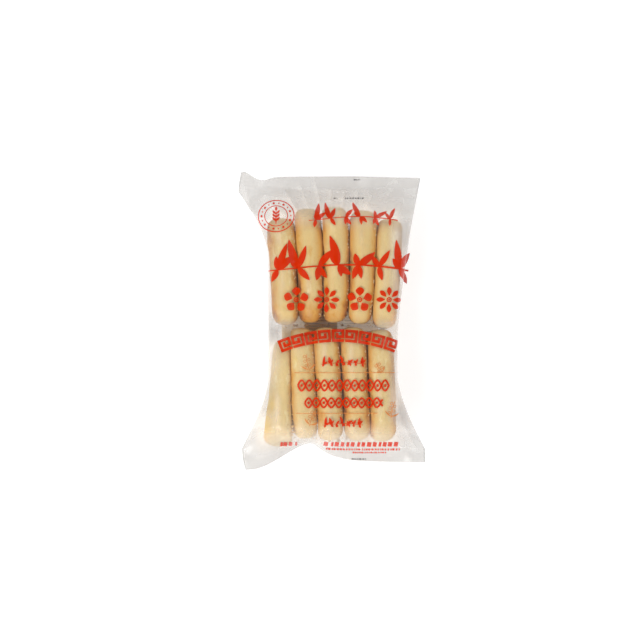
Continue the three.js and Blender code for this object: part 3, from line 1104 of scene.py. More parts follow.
def film_points():
    """The closed film as a grid of stations by points round the bag.

    Round each section, points spread evenly round a rectangle are drawn in to the
    section's outline, over the front from left to right and back under it.
    -> points, the nominal y of each
    """
    t = np.linspace(-1, 1, FILM_STATIONS + 1)
    y = (CUT_END_Y * (t - FILM_CROWDING * np.sin(2 * np.pi * t)))[:, None]
    steps = 2 * FILM_SIDE_POINTS + FILM_ACROSS_POINTS
    i = np.arange(steps + 1)[None, :]
    rim_height = np.minimum(np.minimum(i, steps - i) / FILM_SIDE_POINTS, 1)
    rim_across = np.clip(2 * (i - FILM_SIDE_POINTS) / FILM_ACROSS_POINTS - 1, -1, 1)
    power, tall = section_powers(y)
    reach = np.abs(rim_across) ** power + rim_height ** tall
    across = rim_across / reach ** (1 / power)
    height = rim_height / reach ** (1 / tall)

    x = across * half_width(across, y)
    y = np.broadcast_to(y, x.shape)
    plan_y = y + end_shift(x, y)
    front = np.stack([x, plan_y, film_height(x, y, height, True)], axis=-1)
    back = np.stack([x, plan_y, film_height(x, y, height, False)], axis=-1)
    ring = np.concatenate([front, back[:, -2:0:-1]], axis=1)
    return ring, np.concatenate([y, y[:, -2:0:-1]], axis=1)


def end_strips(rows, around):
    """Faces that close both cut ends, between the two halves of the end rings."""
    i = np.arange(1, around // 2 - 1)
    strip = np.stack([i, i + 1, around - i - 1, around - i], axis=1)
    top = (rows - 1) * around
    half = around // 2
    quads = np.vstack([strip[:, ::-1], strip + top])
    tips = [(0, around - 1, 1), (top, top + 1, top + around - 1)]
    tips += [(half, half - 1, half + 1), (top + half, top + half + 1, top + half - 1)]
    return quads.tolist() + tips


def build_film(settings):
    """The bag's film, with its haze (which holds painted shade and highlights), painted sheen and seal
    for each point.
    """
    ring, y = film_points()
    rows, around = y.shape
    faces = grid_quads(rows, around, wrap_columns=True).tolist() + end_strips(rows, around)
    x = ring[..., 0]
    seal = smoothstep(-SEAL_SOFT, SEAL_SOFT, np.abs(y) - (CUT_END_Y - SEAL_LONG))
    values = {"haze": film_haze_and_painted_light(x, y) + SEAL_HAZE * seal, "sheen": film_painted_sheen(x, y), "seal": seal}
    uv = np.stack([x, y], axis=-1).reshape(-1, 2)
    film = make_piece("film", ring.reshape(-1, 3), faces, film_material(settings), values, uv)
    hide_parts("bag")


# ---- The breads --------------------------------------------------------------

def bread_form(bread):
    """One flatbread about its own middle: X through its thickness, Y along it, Z
    up its width.

    Round the bread runs an oval |y|^n + |z|^n = 1. Across it a profile runs from
    the middle of one broad face to the edge, half a squared circle |u|^m + |v|^m =
    1 as thick as the bread, and on to the other face. m falls from the upper end
    to the rounder lower one.
    """
    turn = np.linspace(0, 2 * np.pi, BREAD_AROUND, endpoint=False)[None, :]
    along, up = np.cos(turn), np.sin(turn)
    reach = np.abs(2 * along / bread.long) ** OVAL_POWER + np.abs(2 * up / bread.wide) ** OVAL_POWER
    oval = reach ** (-1 / OVAL_POWER)

    edge = bread.thick / 2
    face = np.linspace(FACE_MIDDLE, 1, BREAD_FACE_ROWS, endpoint=False)[:, None]
    face_out = face * (oval - edge)
    face_through = np.repeat(edge + FACE_DOME * (1 - face ** 2), BREAD_AROUND, axis=1)
    rim = np.linspace(-np.pi / 2, np.pi / 2, BREAD_RIM_ROWS)[:, None]
    power = lerp(RIM_POWERS["foot"], RIM_POWERS["top"], smoothstep(*RIM_CHANGE, along))
    squared = (np.abs(np.cos(rim)) ** power + np.abs(np.sin(rim)) ** power) ** (-1 / power)
    rim_out = oval - edge + edge * np.cos(rim) * squared
    rim_through = edge * np.sin(rim) * squared
    out = np.vstack([face_out, rim_out, face_out[::-1]])
    through = np.vstack([-face_through, rim_through, face_through[::-1]])
    return np.stack([through, out * along, out * up], axis=-1)


def bread_relief(points, place):
    """A bread's points raised and dented along their normals by three noises."""
    relief = sum(high * (noise(place, name) - 0.5) for name, high in CRUST.items())
    return points + grid_normals(points) * relief[..., None]


def bread_finish(points, place, bread):
    """How toasted, how floured and how golden each point is: toasted towards the
    broad faces and by the bread's own bake, darkened at the upper breads' lower ends
    by toasting and painted shade and lightened at the lower breads' by painted light,
    floured in patches, and golden along the left of its lower end.
    -> {name: number for each point}"""
    to_face, to_end = 2 * points[..., 0] / bread.thick, 2 * points[..., 1] / bread.long
    on_face = smoothstep(*TOAST["on_face"], np.abs(to_face))
    blotch = noise(place, "blotches")
    toast = TOAST["edge"] + bread.bake + TOAST["face"] * on_face * lerp(*TOAST["face_cloud"], blotch)
    # The lower end: darkened on the upper breads by toasting and painted shade by the gap between the
    # rows, lightened on the lower breads by painted light at the foot.
    lower_end = smoothstep(*TOAST["lower_end"], -to_end)
    toast += bread.end_toast_and_shading * lower_end * lerp(*TOAST["end_cloud"], blotch)
    toast += TOAST["blotch"] * smoothstep(*TOAST["blotches"], blotch) * (1 - on_face)
    patches = smoothstep(*FLOUR["patches"], noise(place, "flour"))
    flour = (1 - FLOUR["less_on_face"] * on_face) * np.clip(patches + bread.dust, 0, max(1, bread.dust))
    golden = smoothstep(*GOLD["upper"], to_end) * smoothstep(*GOLD["lower"], to_end)
    gold = bread.gold * golden * smoothstep(*GOLD["left"], to_face)
    return {"toast": toast, "flour": flour, "gold": gold}


def place_bread(points, bread):
    """A bread's points where it stands: thickened evenly towards one end, its ends
    curved aside by a parabola, then leant about Y, twisted along it, turned about
    Z and lifted onto the film."""
    through, along, up = np.moveaxis(points, -1, 0)
    share = 2 * along / bread.long
    through = through * (1 + bread.taper * share) + bread.curve * share ** 2
    lean, yaw = np.radians(bread.lean + bread.twist * share), math.radians(bread.yaw)
    leant_x = through * np.cos(lean) + up * np.sin(lean)
    leant_z = up * np.cos(lean) - through * np.sin(lean)
    turned_x = leant_x * math.cos(yaw) - along * math.sin(yaw)
    turned_y = leant_x * math.sin(yaw) + along * math.cos(yaw)
    lifted = leant_z - leant_z.min() + BREAD_STANDS
    return np.stack([turned_x + bread.x, turned_y + bread.y, lifted], axis=-1)


def press_apart(points, bread, other):
    """Flattens a bread where it would pass into its neighbour: any point beyond
    the plane midway between the two is brought back to it."""
    yaw = math.radians((bread.yaw + other.yaw) / 2)
    normal = np.array([math.cos(yaw), math.sin(yaw), 0.0])
    if other.x < bread.x:
        normal = -normal
    share = bread.thick / (bread.thick + other.thick)
    middle = np.array([lerp(bread.x, other.x, share), lerp(bread.y, other.y, share), 0.0])
    beyond = np.maximum((points - middle) @ normal + PRESS_CLEAR, 0)
    return points - beyond[..., None] * normal


def hold_in_film(points):
    """Keeps a bread inside the film: x within the half width of its nominal y, and
    then z between the two layers, whose section is |x / half width|^a +
    |height|^t = 1."""
    x, y, z = np.moveaxis(points, -1, 0)
    y_inside = nominal_y(x, y)
    power, tall = section_powers(y_inside)
    half_wide = half_width(x, y_inside) - FILM_CLEAR
    x = np.clip(x, -HELD * half_wide, HELD * half_wide)
    height = (1 - np.abs(x / half_wide) ** power) ** (1 / tall)
    full = fullness(y_inside)
    middle = mid_height(x, y_inside)
    top = middle + (CROWN - dip(x, y_inside)) * full * height - FILM_CLEAR
    bottom = middle - BELLY * full * height + FILM_CLEAR
    return np.stack([x, y, np.clip(z, np.minimum(bottom, top), top)], axis=-1)


def neighbours():
    """The names of every two breads that stand side by side in a row."""
    names = list(BREADS)
    return [(left, right) for left, right in zip(names, names[1:]) if left[:5] == right[:5]]


def bread_grids():
    """Every bread in place, pressed flat against its neighbours and held in by the
    film. -> {name: (points, finish)}"""
    grids = {}
    for number, (name, bread) in enumerate(BREADS.items()):
        form = bread_form(bread)
        noise_place = form + NOISE_APART * (number + 1)
        points = place_bread(bread_relief(form, noise_place), bread)
        for left, right in neighbours():
            if name in (left, right):
                other = BREADS[right if name == left else left]
                points = press_apart(points, bread, other)
        grids[name] = (hold_in_film(points), bread_finish(form, noise_place, bread))
    return grids


def with_middles(grid):
    """A grid's points or numbers row by row, and then the mean of its first row
    and that of its last, for the middle points of the two broad faces."""
    return np.concatenate([grid.reshape(-1, *grid.shape[2:]), grid[[0, -1]].mean(axis=1)])


def build_breads(settings):
    """The ten breads, each a piece of its own."""
    material = bread_material(settings)
    for name, (points, finish) in bread_grids().items():
        quads, fans = closed_faces(*points.shape[:2])
        values = {key: with_middles(numbers) for key, numbers in finish.items()}
        make_piece(f"flatbread_{name}", with_middles(points), quads.tolist() + fans.tolist(),
                   material, values)


def build_seeds(settings):
    """Sesame on each bread's right broad face, at grid points thinned to one in
    each small cube of space, lying flat and turned at random. They are left out
    low down, where the next bread hides them."""
    random = np.random.default_rng(RANDOM_SEEDS["sesame"])
    first_row = BREAD_FACE_ROWS + int(SEEDS_FROM_RIM * BREAD_RIM_ROWS)
    places, axes = [], []
    for name, (points, _) in bread_grids().items():
        spots = points[first_row:].reshape(-1, 3)
        facing = grid_normals(points)[first_row:].reshape(-1, 3)
        order = random.permutation(len(spots))
        _, kept = np.unique(np.floor(spots[order] / SEED_PITCH), axis=0, return_index=True)
        chosen = order[kept]
        chosen = chosen[random.random(len(chosen)) < SEED_SHARE]
        if name not in OUTER_RIGHT:
            chosen = chosen[spots[chosen, 2] > SEEDS_SHOW_ABOVE]
        back, front = layer_heights(spots[chosen, 0], spots[chosen, 1])
        room = np.minimum(spots[chosen, 2] - back, front - spots[chosen, 2])
        chosen = chosen[room > SEED_SIZE[1]]
        out = facing[chosen]
        side = np.cross(out, random.normal(size=out.shape))
        side /= np.linalg.norm(side, axis=1, keepdims=True)
        axes.append(np.stack([side, np.cross(out, side), out], axis=1))
        places.append(spots[chosen] + SEED_LIFT * out)
    places, axes = np.vstack(places), np.vstack(axes)
    sizes = np.array(SEED_SIZE) / 2 * random.uniform(*SEED_SIZES, (len(places), 1))
    form, faces = round_form(6, 8)
    form = form * (1 - SEED_TAPER * form[:, :1] * [0, 1, 1])
    points, faces = scatter(form, faces, places, axes, sizes)
    material = crumb_material("toasted_sesame", settings.seed, settings.golden)
    make_piece("sesame_seeds", points, faces, material)


def groove_crumbs(random, a, b):
    """Places of crumbs strewn along the groove between two breads."""
    count = GROOVE_CRUMBS["count"]
    along = random.uniform(-GROOVE_CRUMBS["length"], GROOVE_CRUMBS["length"], count) * a.long
    turn = math.radians((a.yaw + b.yaw) / 2)
    x = (a.x + b.x) / 2 - along * math.sin(turn) + random.normal(0, GROOVE_CRUMBS["aside"], count)
    y = (a.y + b.y) / 2 + along * math.cos(turn)
    return np.stack([x, y, random.uniform(*GROOVE_CRUMBS["heights"], count)], axis=1)


def build_crumbs(settings):
    """Flaky crumbs caught in the grooves between neighbouring breads, most in the
    lower left one, in the gap between the rows, and past the lower breads' ends,
    kept between the two layers of film."""
    random = np.random.default_rng(RANDOM_SEEDS["crumbs"])
    places = [groove_crumbs(random, BREADS[left], BREADS[right]) for left, right in neighbours()]
    for count, *draws in CRUMB_CLOUDS.values():
        drawn = [getattr(random, kind)(first, second, count) for kind, first, second in draws]
        places.append(np.stack(drawn, axis=1))
    places = np.vstack(places)
    back, front = layer_heights(places[:, 0], places[:, 1])
    places[:, 2] = np.clip(places[:, 2], back + CRUMBS_OFF_BACK, front - CRUMBS_OFF_FRONT)
    axes = np.linalg.qr(random.normal(size=(len(places), 3, 3)))[0]
    shapes = random.uniform(*CRUMB_SHAPES, (len(places), 3))
    sizes = CRUMB_SIZE / 2 * random.lognormal(0, CRUMB_SPREAD, (len(places), 1)) * shapes
    form, faces = round_form(6, 7, rough=np.random.default_rng(RANDOM_SEEDS["crumb_form"]))
    points, faces = scatter(form, faces, places, axes, sizes)
    material = crumb_material("crust_crumbs", settings.cream, settings.brown)
    make_piece("crumbs", points, faces, material)


# ---- Print: flat shapes as ribbons -------------------------------------------

def heading_path(start, headings, length):
    """A path that sets out from start and follows the headings, in radians, in
    equal steps: the running sum of their directions."""
    step = length / (len(headings) - 1)
    moves = np.stack([np.cos(headings), np.sin(headings)], axis=1) * step
    moves[0] = 0
    return np.asarray(start, float) + np.cumsum(moves, axis=0)


def steps_for(length):
    """How many points a ribbon of that length gets."""
    return max(LEAST_STEPS, int(length / PRINT_STEP) + 1)


def ribbon(path, half_wide, closed=False):
    """A strip along a path: each point carried sideways, square to the path, to
    columns from -1 to 1 of its half width. -> (points, columns, 2) grid, closed"""
    path = np.asarray(path, float)
    half_wide = np.broadcast_to(half_wide, len(path))
    if closed:
        step = np.roll(path, -1, axis=0) - np.roll(path, 1, axis=0)
    else:
        step = np.gradient(path, axis=0)
    step /= np.linalg.norm(step, axis=1, keepdims=True) + 1e-9
    side = np.stack([-step[:, 1], step[:, 0]], axis=1)
    columns = 3 + 2 * int(half_wide.max() / COLUMN_WIDE)
    across = np.linspace(-1, 1, columns)[None, :, None]
    return path[:, None, :] + side[:, None, :] * half_wide[:, None, None] * across, closed


def leaf(base, angle, length, wide, curl=0.0, blunt=1.0):
    """A leaf-shaped brush stroke: a path whose heading turns evenly by curl, with
    a half width that follows a power of sin(pi s^blunt)."""
    s = np.linspace(0, 1, steps_for(length))
    path = heading_path(base, math.radians(angle) + math.radians(curl) * (s - 0.5), length)
    return ribbon(path, LEAF_LEAST + wide / 2 * np.sin(np.pi * s ** blunt) ** LEAF_ROUND)


def line(points, wide):
    """A stroke of even width through straight runs between points."""
    points = np.asarray(points, float)
    runs = np.linalg.norm(np.diff(points, axis=0), axis=1)
    at = np.concatenate([[0], np.cumsum(runs)])
    s = np.linspace(0, at[-1], steps_for(at[-1]))
    path = np.stack([np.interp(s, at, points[:, 0]), np.interp(s, at, points[:, 1])], axis=1)
    return ribbon(path, wide / 2)


def wave(x0, x1, y, swing, length, wide, phase=0.0):
    """A sine-wave stroke from x0 to x1 about y."""
    x = np.linspace(x0, x1, steps_for(WAVE_LONGER * (x1 - x0)))
    wave_y = y + swing * np.sin(2 * np.pi * (x - x0) / length + phase)
    return ribbon(np.stack([x, wave_y], axis=1), wide / 2)


def oval_ring(x, y, half_x, half_y, wide):
    """A closed ring round an ellipse."""
    turn = np.linspace(0, 2 * np.pi, steps_for(2 * np.pi * max(half_x, half_y)), endpoint=False)
    path = np.stack([x + half_x * np.cos(turn), y + half_y * np.sin(turn)], axis=1)
    return ribbon(path, wide / 2, closed=True)


def dot(x, y, radius):
    """A filled disc: a short stroke whose half width follows half a circle."""
    s = np.linspace(-0.999, 0.999, 9)
    path = np.stack([x + radius * s, np.full_like(s, y)], axis=1)
    return ribbon(path, radius * np.sqrt(1 - s ** 2))


def blossom(x, y, radius, petals, turn, wide):
    """A rosette: petals as leaves round a small ring with a dot in it."""
    ring = BLOSSOM["ring"] * radius
    shapes = [oval_ring(x, y, ring, ring, BLOSSOM["ring_wide"] * radius),
              dot(x, y, BLOSSOM["dot"] * radius)]
    for angle in turn + 360 * np.arange(petals) / petals:
        out = BLOSSOM["petal_from"] * radius
        base = (x + out * math.cos(math.radians(angle)), y + out * math.sin(math.radians(angle)))
        petal_long = BLOSSOM["petal_long"] * radius
        shapes.append(leaf(base, angle, petal_long, wide * radius, BLOSSOM["curl"], BLOSSOM["blunt"]))
    return shapes


def spray(x0, x1, y, rise, nodes, tall, wide):
    """A brush-drawn bamboo spray: a thin bowed stalk, and at each of its nodes two
    or three long leaves that fan up and one or two short ones that hang.

    The fans open to the left and right by turns, and every leaf's length, width
    and heading vary a little, so that no two fans are alike.
    """
    random = np.random.default_rng(int(RANDOM_SEEDS["spray"] + tall))
    s = np.linspace(0, 1, steps_for(x1 - x0))
    sway = SPRAY["sway"] * tall * np.cos(SPRAY["sways"] * s)
    stalk = np.stack([lerp(x0, x1, s), y + rise * np.sin(np.pi * s) - sway], axis=1)
    shapes = [ribbon(stalk, wide * lerp(*SPRAY["stalk"], s))]
    for i in range(nodes):
        at = stalk[int((i + 0.5) / nodes * (len(stalk) - 1))]
        for order, (angle, share) in enumerate(SPRAY["fan"]):
            missing = (order + i) % 5 == 4 or (order == 0 and i % 3 == 2)
            if missing:
                continue
            angle += SPRAY["leans"][i % 4] + random.uniform(*SPRAY["headings"])
            share *= random.uniform(*SPRAY["lengths"])
            breadth = wide * lerp(SPRAY["least_wide"], 1, share) * random.uniform(*SPRAY["widths"])
            curl = random.uniform(*SPRAY["curls"])
            shapes.append(leaf(at, angle, tall * share, breadth, curl, SPRAY["blunt"]))
    return shapes


def ear(base, angle, length, wide, grains):
    """An ear of wheat: a stem with pairs of grains leaning off it, and a last one."""
    direction = math.radians(angle)
    toward = length * np.array([math.cos(direction), math.sin(direction)])
    tip = base + EAR["tip_from"] * toward
    shapes = [leaf(base, angle, EAR["stem"] * length, EAR["stem_wide"], blunt=EAR["stem_blunt"]),
              leaf(tip, angle, EAR["tip"] * length, EAR["tip_wide"] * wide)]
    for i in range(grains):
        at = base + toward * (EAR["grain_from"] + EAR["grain_run"] * i / grains)
        for turn in (-EAR["grain_turn"], EAR["grain_turn"]):
            grain = leaf(at, angle + turn, EAR["grain"] * length, EAR["grain"] * wide, curl=-0.7 * turn)
            shapes.append(grain)
    return shapes


def fret(count, pitch, size, stroke):
    """A border of squared spirals, laid out straight along X about y = 0, every
    second one turned over."""
    turns = np.array(FRET_TURNS) * size
    shapes = []
    for i in range(count):
        flip = 1 if i % 2 == 0 else -1
        middle = (i - (count - 1) / 2) * pitch
        for start, end in zip(turns, turns[1:]):
            past_corner = (end - start) / np.linalg.norm(end - start) * stroke / 2
            run = np.array([start - past_corner, end + past_corner]) * (flip, 1) + (middle, 0)
            shapes.append(line(run, stroke))
    return shapes


def on_arc(shapes, x, y, radius):
    """Shapes laid out along X bent round an arc whose top is at x, y."""
    bent = []
    for points, closed in shapes:
        angle, out = points[..., 0] / radius, radius + points[..., 1]
        round_arc = np.stack([x + out * np.sin(angle), y - radius + out * np.cos(angle)], axis=-1)
        bent.append((round_arc, closed))
    return bent


def sprig(x, y, height, berries, turn):
    """A pepper sprig in outline: a curved stem, small rings along it by turns, and
    two narrow leaves at its foot."""
    s = np.linspace(0, 1, SPRIG["steps"])
    headings = math.radians(90 + turn) - SPRIG["bow"] * (s - 0.5)
    stem = heading_path((x, y - height / 2), headings, height)
    shapes = [ribbon(stem, SPRIG["stem_wide"])]
    berry = SPRIG["berry"]
    for i in range(berries):
        at_x, at_y = stem[3 + int(8 * i / berries)] + (SPRIG["aside"] * (1 if i % 2 else -1), SPRIG["up"])
        shapes.append(oval_ring(at_x, at_y, berry, berry, SPRIG["line"]))
    for side in (-1, 1):
        heading = 90 + turn + side * SPRIG["leaf_turn"]
        long, curl = SPRIG["leaf_long"] * height, -side * SPRIG["leaf_curl"]
        shapes.append(leaf(stem[1], heading, long, SPRIG["leaf_wide"], curl))
    return shapes


def print_piece(name, shapes, material, front=True, lift=PRINT_LIFT):
    """One piece of print: every shape laid onto the film, each a hair above the
    one before so that none lie in one plane."""
    points, faces, uv = [], [], []
    first = 0
    for order, (shape, closed) in enumerate(shapes):
        rows, columns = shape.shape[:2]
        quads = grid_quads(rows, columns)
        if closed:
            seam = grid_quads(2, columns)
            seam = np.where(seam < columns, seam + (rows - 1) * columns, seam - columns)
            quads = np.vstack([quads, seam])
        faces.append((quads[:, ::-1] if front else quads) + first)
        height = lift + LAYER_LIFT * (order % LAYERS)
        points.append(on_film(shape[..., 0].ravel(), shape[..., 1].ravel(), front, height))
        along, across = np.meshgrid(np.arange(rows), np.linspace(-1, 1, columns), indexing="ij")
        uv.append(np.stack([along.ravel() * PRINT_STEP, across.ravel()], axis=1))
        first += rows * columns
    make_piece(name, np.vstack(points), np.vstack(faces), material, uv=np.vstack(uv))


def build_badge(red):
    """The round badge on the flared corner: two rings, a row of dots between them
    and a small ear of wheat in the middle."""
    x, y, half_x, half_y = -62.3, 116.9, 20.0, 17.9
    inner, between, dots = 0.64, 0.82, 18
    shapes = [oval_ring(x, y, half_x, half_y, 1.1), oval_ring(x, y, inner * half_x, inner * half_y, 0.9)]
    for i in range(dots):
        turn = 2 * math.pi * i / dots
        at = (x + between * half_x * math.cos(turn), y + between * half_y * math.sin(turn))
        shapes.append(dot(*at, radius=1.3 if i % 2 else 0.8))
    shapes += ear(np.array([x, y - 9.5]), angle=90, length=19.5, wide=8.5, grains=3)
    print_piece("print_badge", shapes, red)


def build_garlands(red):
    """The two brush-drawn sprays that run across the upper breads."""
    small = spray(x0=-26, x1=73, y=112, rise=3.0, nodes=6, tall=21, wide=5.4)
    large = spray(x0=-71, x1=86, y=57, rise=4.0, nodes=7, tall=36, wide=9.2)
    print_piece("print_small_spray", small, red)
    print_piece("print_large_spray", large, red)


def build_blossoms(red):
    """Four rosettes in a row, five- and eight-petalled by turns."""
    shapes = []
    for i, x in enumerate((-40, -6.2, 30.4, 63)):
        petals, wide = ((5, 0.66), (8, 0.36))[i % 2]
        shapes += blossom(x, y=23.6, radius=14.2, petals=petals, turn=90, wide=wide)
    print_piece("print_blossoms", shapes, red)


def build_borders(red):
    """The arched fret, and under it two rows of lozenges, each made of two crossed
    waves with a dot in every eye, between two rows of small leaves."""
    straight = fret(count=9, pitch=14.9, size=10.8, stroke=3.1)
    print_piece("print_fret", on_arc(straight, x=6.5, y=-16.2, radius=176), red)

    rows = []
    wave_long = 16.8
    for x0, x1, y, swing in ((-38, 63, -71.4, 5.8), (-30.4, 55.8, -90.6, 5.2)):
        for phase in (0, math.pi):
            rows.append(wave(x0, x1, y, swing, wave_long, wide=2.1, phase=phase))
        rows += [dot(x, y, radius=1.6) for x in np.arange(x0 + wave_long / 4, x1, wave_long / 2)]
    for x0, x1, y in ((-12.4, 37.1, -47.5), (-10.5, 33.8, -115)):
        rows += spray(x0, x1, y, rise=1.2, nodes=7, tall=8.6, wide=3.2)
    print_piece("print_rows", rows, red)


def build_fine_lines(orange):
    """Two thin rules and four pepper sprigs beside the rows."""
    rules = ([(-41.6, -57.2), (69.4, -57.2)], [(-40.5, -102.2), (50, -102.2)])
    shapes = [line(rule, wide=0.75) for rule in rules]
    sprigs = ((-24.8, -45.6, 19, 5, 12), (-25, -107, 19, 5, -20),
              (56.8, -50, 13, 4, 40), (65.3, -98, 19, 5, -12))
    for x, y, height, berries, turn in sprigs:
        shapes += sprig(x, y, height, berries, turn)
    print_piece("print_fine_lines", shapes, orange)


def build_small_marks(red, grey):
    """Rows of plain red blocks by the foot, and short grey marks at both ends."""
    random = np.random.default_rng(RANDOM_SEEDS["marks"])
    blocks = []
    for x, x1, y, tall, wide in BLOCK_ROWS:
        while x < x1:
            length = wide * random.uniform(*BLOCK_LENGTHS)
            blocks.append(line([(x, y - tall / 2), (x + BLOCK_SLANT * tall, y + tall / 2)], length))
            x += length + wide * random.uniform(*BLOCK_GAPS)
    print_piece("print_small_blocks", blocks, red)

    marks = []
    for x, x1, y, tall in GREY_MARKS:
        while x < x1:
            length = random.uniform(*MARK_LENGTHS)
            stroke = [(x, y), (min(x + length, x1), y + MARK_RISE)]
            marks.append(line(stroke, tall * random.uniform(*MARK_SHARES)))
            x += length + random.uniform(*MARK_GAPS)
    print_piece("print_grey_marks", marks, grey)


def build_back_print(inks):
    """A panel between two others, printed on the back film and ruled with pale
    lines, every third one longer and every sixth one thicker. Seen through the gap
    between the rows, the panels are also painted shade and warm bounced light.

    `inks` gives each panel's material and that of the lines by name.
    """
    for side, (left, right) in BACK_PANELS.items():
        middle = (left + right) / 2
        strip = line([(middle, BACK_FOOT), (middle, BACK_TOP)], right - left)
        print_piece(f"back_panel_{side}", [strip], inks[side], front=False, lift=PANEL_LIFT)
    lines = []
    for i, y in enumerate(np.arange(BACK_LINES["foot"], BACK_LINES["top"], BACK_LINES["pitch"])):
        end = BACK_LINES["to_x"] - BACK_LINES["shorter"] * (i % 3)
        wide = BACK_LINES["thick"] if i % 6 == 0 else BACK_LINES["thin"]
        lines.append(line([(BACK_LINES["from_x"], y), (end, y)], wide))
    print_piece("back_lines", lines, inks["lines"], front=False, lift=LINES_LIFT)


def build_back_seam(settings):
    """The long folded seam that closes the tube: a flat strip that wanders along a
    sine, a little tilted and crimped across by a finer sine."""
    y = np.linspace(SEAM["foot"], SEAM["top"], SEAM["rows"])[:, None]
    share = np.linspace(-1, 1, SEAM["columns"])[None, :]
    x = SEAM["x"] + SEAM["half_wide"] * share + SEAM["wander"] * np.sin(y / SEAM["wander_long"])
    crimp = SEAM["crimp"] * np.sin(y / SEAM["crimp_long"]) * (1 - share ** 2)
    z = SEAM["lift"] + crimp + SEAM["tilt"] * (share + 1)
    strip = np.stack(np.broadcast_arrays(x, y, z), axis=-1)
    points = strip.reshape(-1, 3)
    values = {name: np.full(len(points), number)
              for name, number in (("haze", SEAM["haze"]), ("sheen", 0.0), ("seal", 1.0))}
    make_piece("back_seam", points, grid_quads(*strip.shape[:2]), film_material(settings),
               values, points[:, :2])


# ---- The stage ---------------------------------------------------------------

def area_light(name, place, size, power):
    """A soft square lamp that faces the middle of the bag."""
    data = bpy.data.lights.new(name, "AREA")
    data.size = size
    data.energy = power
    lamp = bpy.data.objects.new(name, data)
    lamp.location = place
    toward = -lamp.location.copy()
    toward.z += LAMP_AIM_HIGH
    lamp.rotation_euler = toward.to_track_quat("-Z", "Y").to_euler()
    bpy.context.scene.collection.objects.link(lamp)


def build_floor(settings):
    """The table, a flat square just under the bag."""
    half = FLOOR_HALF
    mesh = bpy.data.meshes.new("studio_floor")
    corners = [(-half, -half, 0), (half, -half, 0), (half, half, 0), (-half, half, 0)]
    mesh.from_pydata(corners, [], [(0, 1, 2, 3)])
    mesh.materials.append(floor_material(settings))
    ground = bpy.data.objects.new("studio_floor", mesh)
    ground.location.z = -FLOOR_BELOW
    bpy.context.scene.collection.objects.link(ground)


def build_sky(settings):
    """Even white light that is dimmer from straight overhead."""
    world = bpy.data.worlds.new("studio_sky")
    world.use_nodes = True
    tree = world.node_tree
    toward = add_node(tree, "ShaderNodeTexCoord").outputs["Generated"]
    height = add_node(tree, "ShaderNodeSeparateXYZ", {0: toward}).outputs["Z"]
    dimming = map_range(tree, height, *SKY_DIMS)
    white = (1.0, 1.0, 1.0)
    sky = mix_colour(tree, dimming, solid(white), solid(white, settings.overhead))
    background = tree.nodes["Background"]
    tree.links.new(sky, background.inputs["Color"])
    background.inputs["Strength"].default_value = settings.sky
    bpy.context.scene.world = world


def build_camera(settings):
    """The camera straight above, at the distance that shows the frame's width."""
    scene = bpy.context.scene
    data = bpy.data.cameras.new("overhead_camera")
    data.sensor_width = SENSOR_WIDE
    data.lens = settings.lens
    camera = bpy.data.objects.new("overhead_camera", data)
    distance = settings.frame_wide * settings.lens / SENSOR_WIDE
    camera.location = (*settings.aim, distance + SIDE_HEIGHT * MM)
    scene.collection.objects.link(camera)
    scene.camera = camera
    scene.view_settings.view_transform = "Standard"


def build_stage(settings):
    """A pale floor, even light, two soft lamps and the camera overhead."""
    build_floor(settings)
    build_sky(settings)
    for name, (place, size) in LAMPS.items():
        area_light(f"{name}_lamp", place, size, getattr(settings, name))
    build_camera(settings)


# ---- Settings ----------------------------------------------------------------

def colour_setting(name, description, default):
    """A colour property with three channels from 0 to 1."""
    return bpy.props.FloatVectorProperty(
        name=name, description=description, default=default, subtype="COLOR", min=0.0, max=1.0)


def number_setting(name, description, default, **limits):
    """A number property, from 0 up unless its limits say otherwise."""
    return bpy.props.FloatProperty(
        name=name, description=description, default=default, **{"min": 0.0, **limits})


def share_setting(name, description, default):
    """A share from 0 to 1."""
    return number_setting(name, description, default, max=1.0, subtype="FACTOR")


class FilmSettings(bpy.types.PropertyGroup):
    """What a user would change on the film."""

    tint: colour_setting("Film tint", "Colour of the film's milky haze", (0.60, 0.57, 0.535))
    # The lit colour is the painted highlight colour of the film's haze.
    lit: colour_setting("Lit film", "Colour of the haze where it catches the light", (0.96, 0.87, 0.77))
    haze: share_setting("Haze", "How much of the light the slack film stops", 0.42)


class BreadSettings(bpy.types.PropertyGroup):
    """Crust colours, from the pale edge to the darkest spots."""

    pale: colour_setting("Pale edge", "Untoasted dough on the round edge", (0.735, 0.53, 0.225))
    cream: colour_setting("Cream", "Lightly baked dough", (0.70, 0.445, 0.155))
    butter: colour_setting("Butter", "Yellower patches of the crust", (0.74, 0.50, 0.11))
    golden: colour_setting("Golden", "Golden crust of the broad faces", (0.66, 0.335, 0.07))
    brown: colour_setting("Brown", "Well toasted crust", (0.50, 0.19, 0.033))
    dark: colour_setting("Dark", "Darkest toasted spots", (0.26, 0.09, 0.02))
    flour: colour_setting("Flour", "Dusting of flour", (0.89, 0.795, 0.47))
    seed: colour_setting("Sesame", "Lightly toasted sesame", (0.66, 0.46, 0.22))


class PrintSettings(bpy.types.PropertyGroup):
    """Inks of the print."""

    red: colour_setting("Red ink", "Main ink of the print", (0.68, 0.026, 0.0))
    orange: colour_setting("Orange ink", "Ink of the thin lines", (0.74, 0.24, 0.06))
    grey: colour_setting("Grey ink", "Ink of the small marks", (0.06, 0.06, 0.07))
    # Panel and beige inks: print, and also painted shade and warm bounced light in the gap between the
    # rows, where the bright panel ink shows dark.
    panel: colour_setting("Panel ink", "Ink of the dark panel on the back", (0.95, 0.60, 0.18))
    beige: colour_setting("Beige ink", "Ink of the lighter panels on the back", (0.98, 0.80, 0.50))
    pale: colour_setting("Pale ink", "Ink of the lines on the back", (0.55, 0.52, 0.48))
    cover: share_setting("Cover", "How much of what lies behind the ink hides", 0.9)


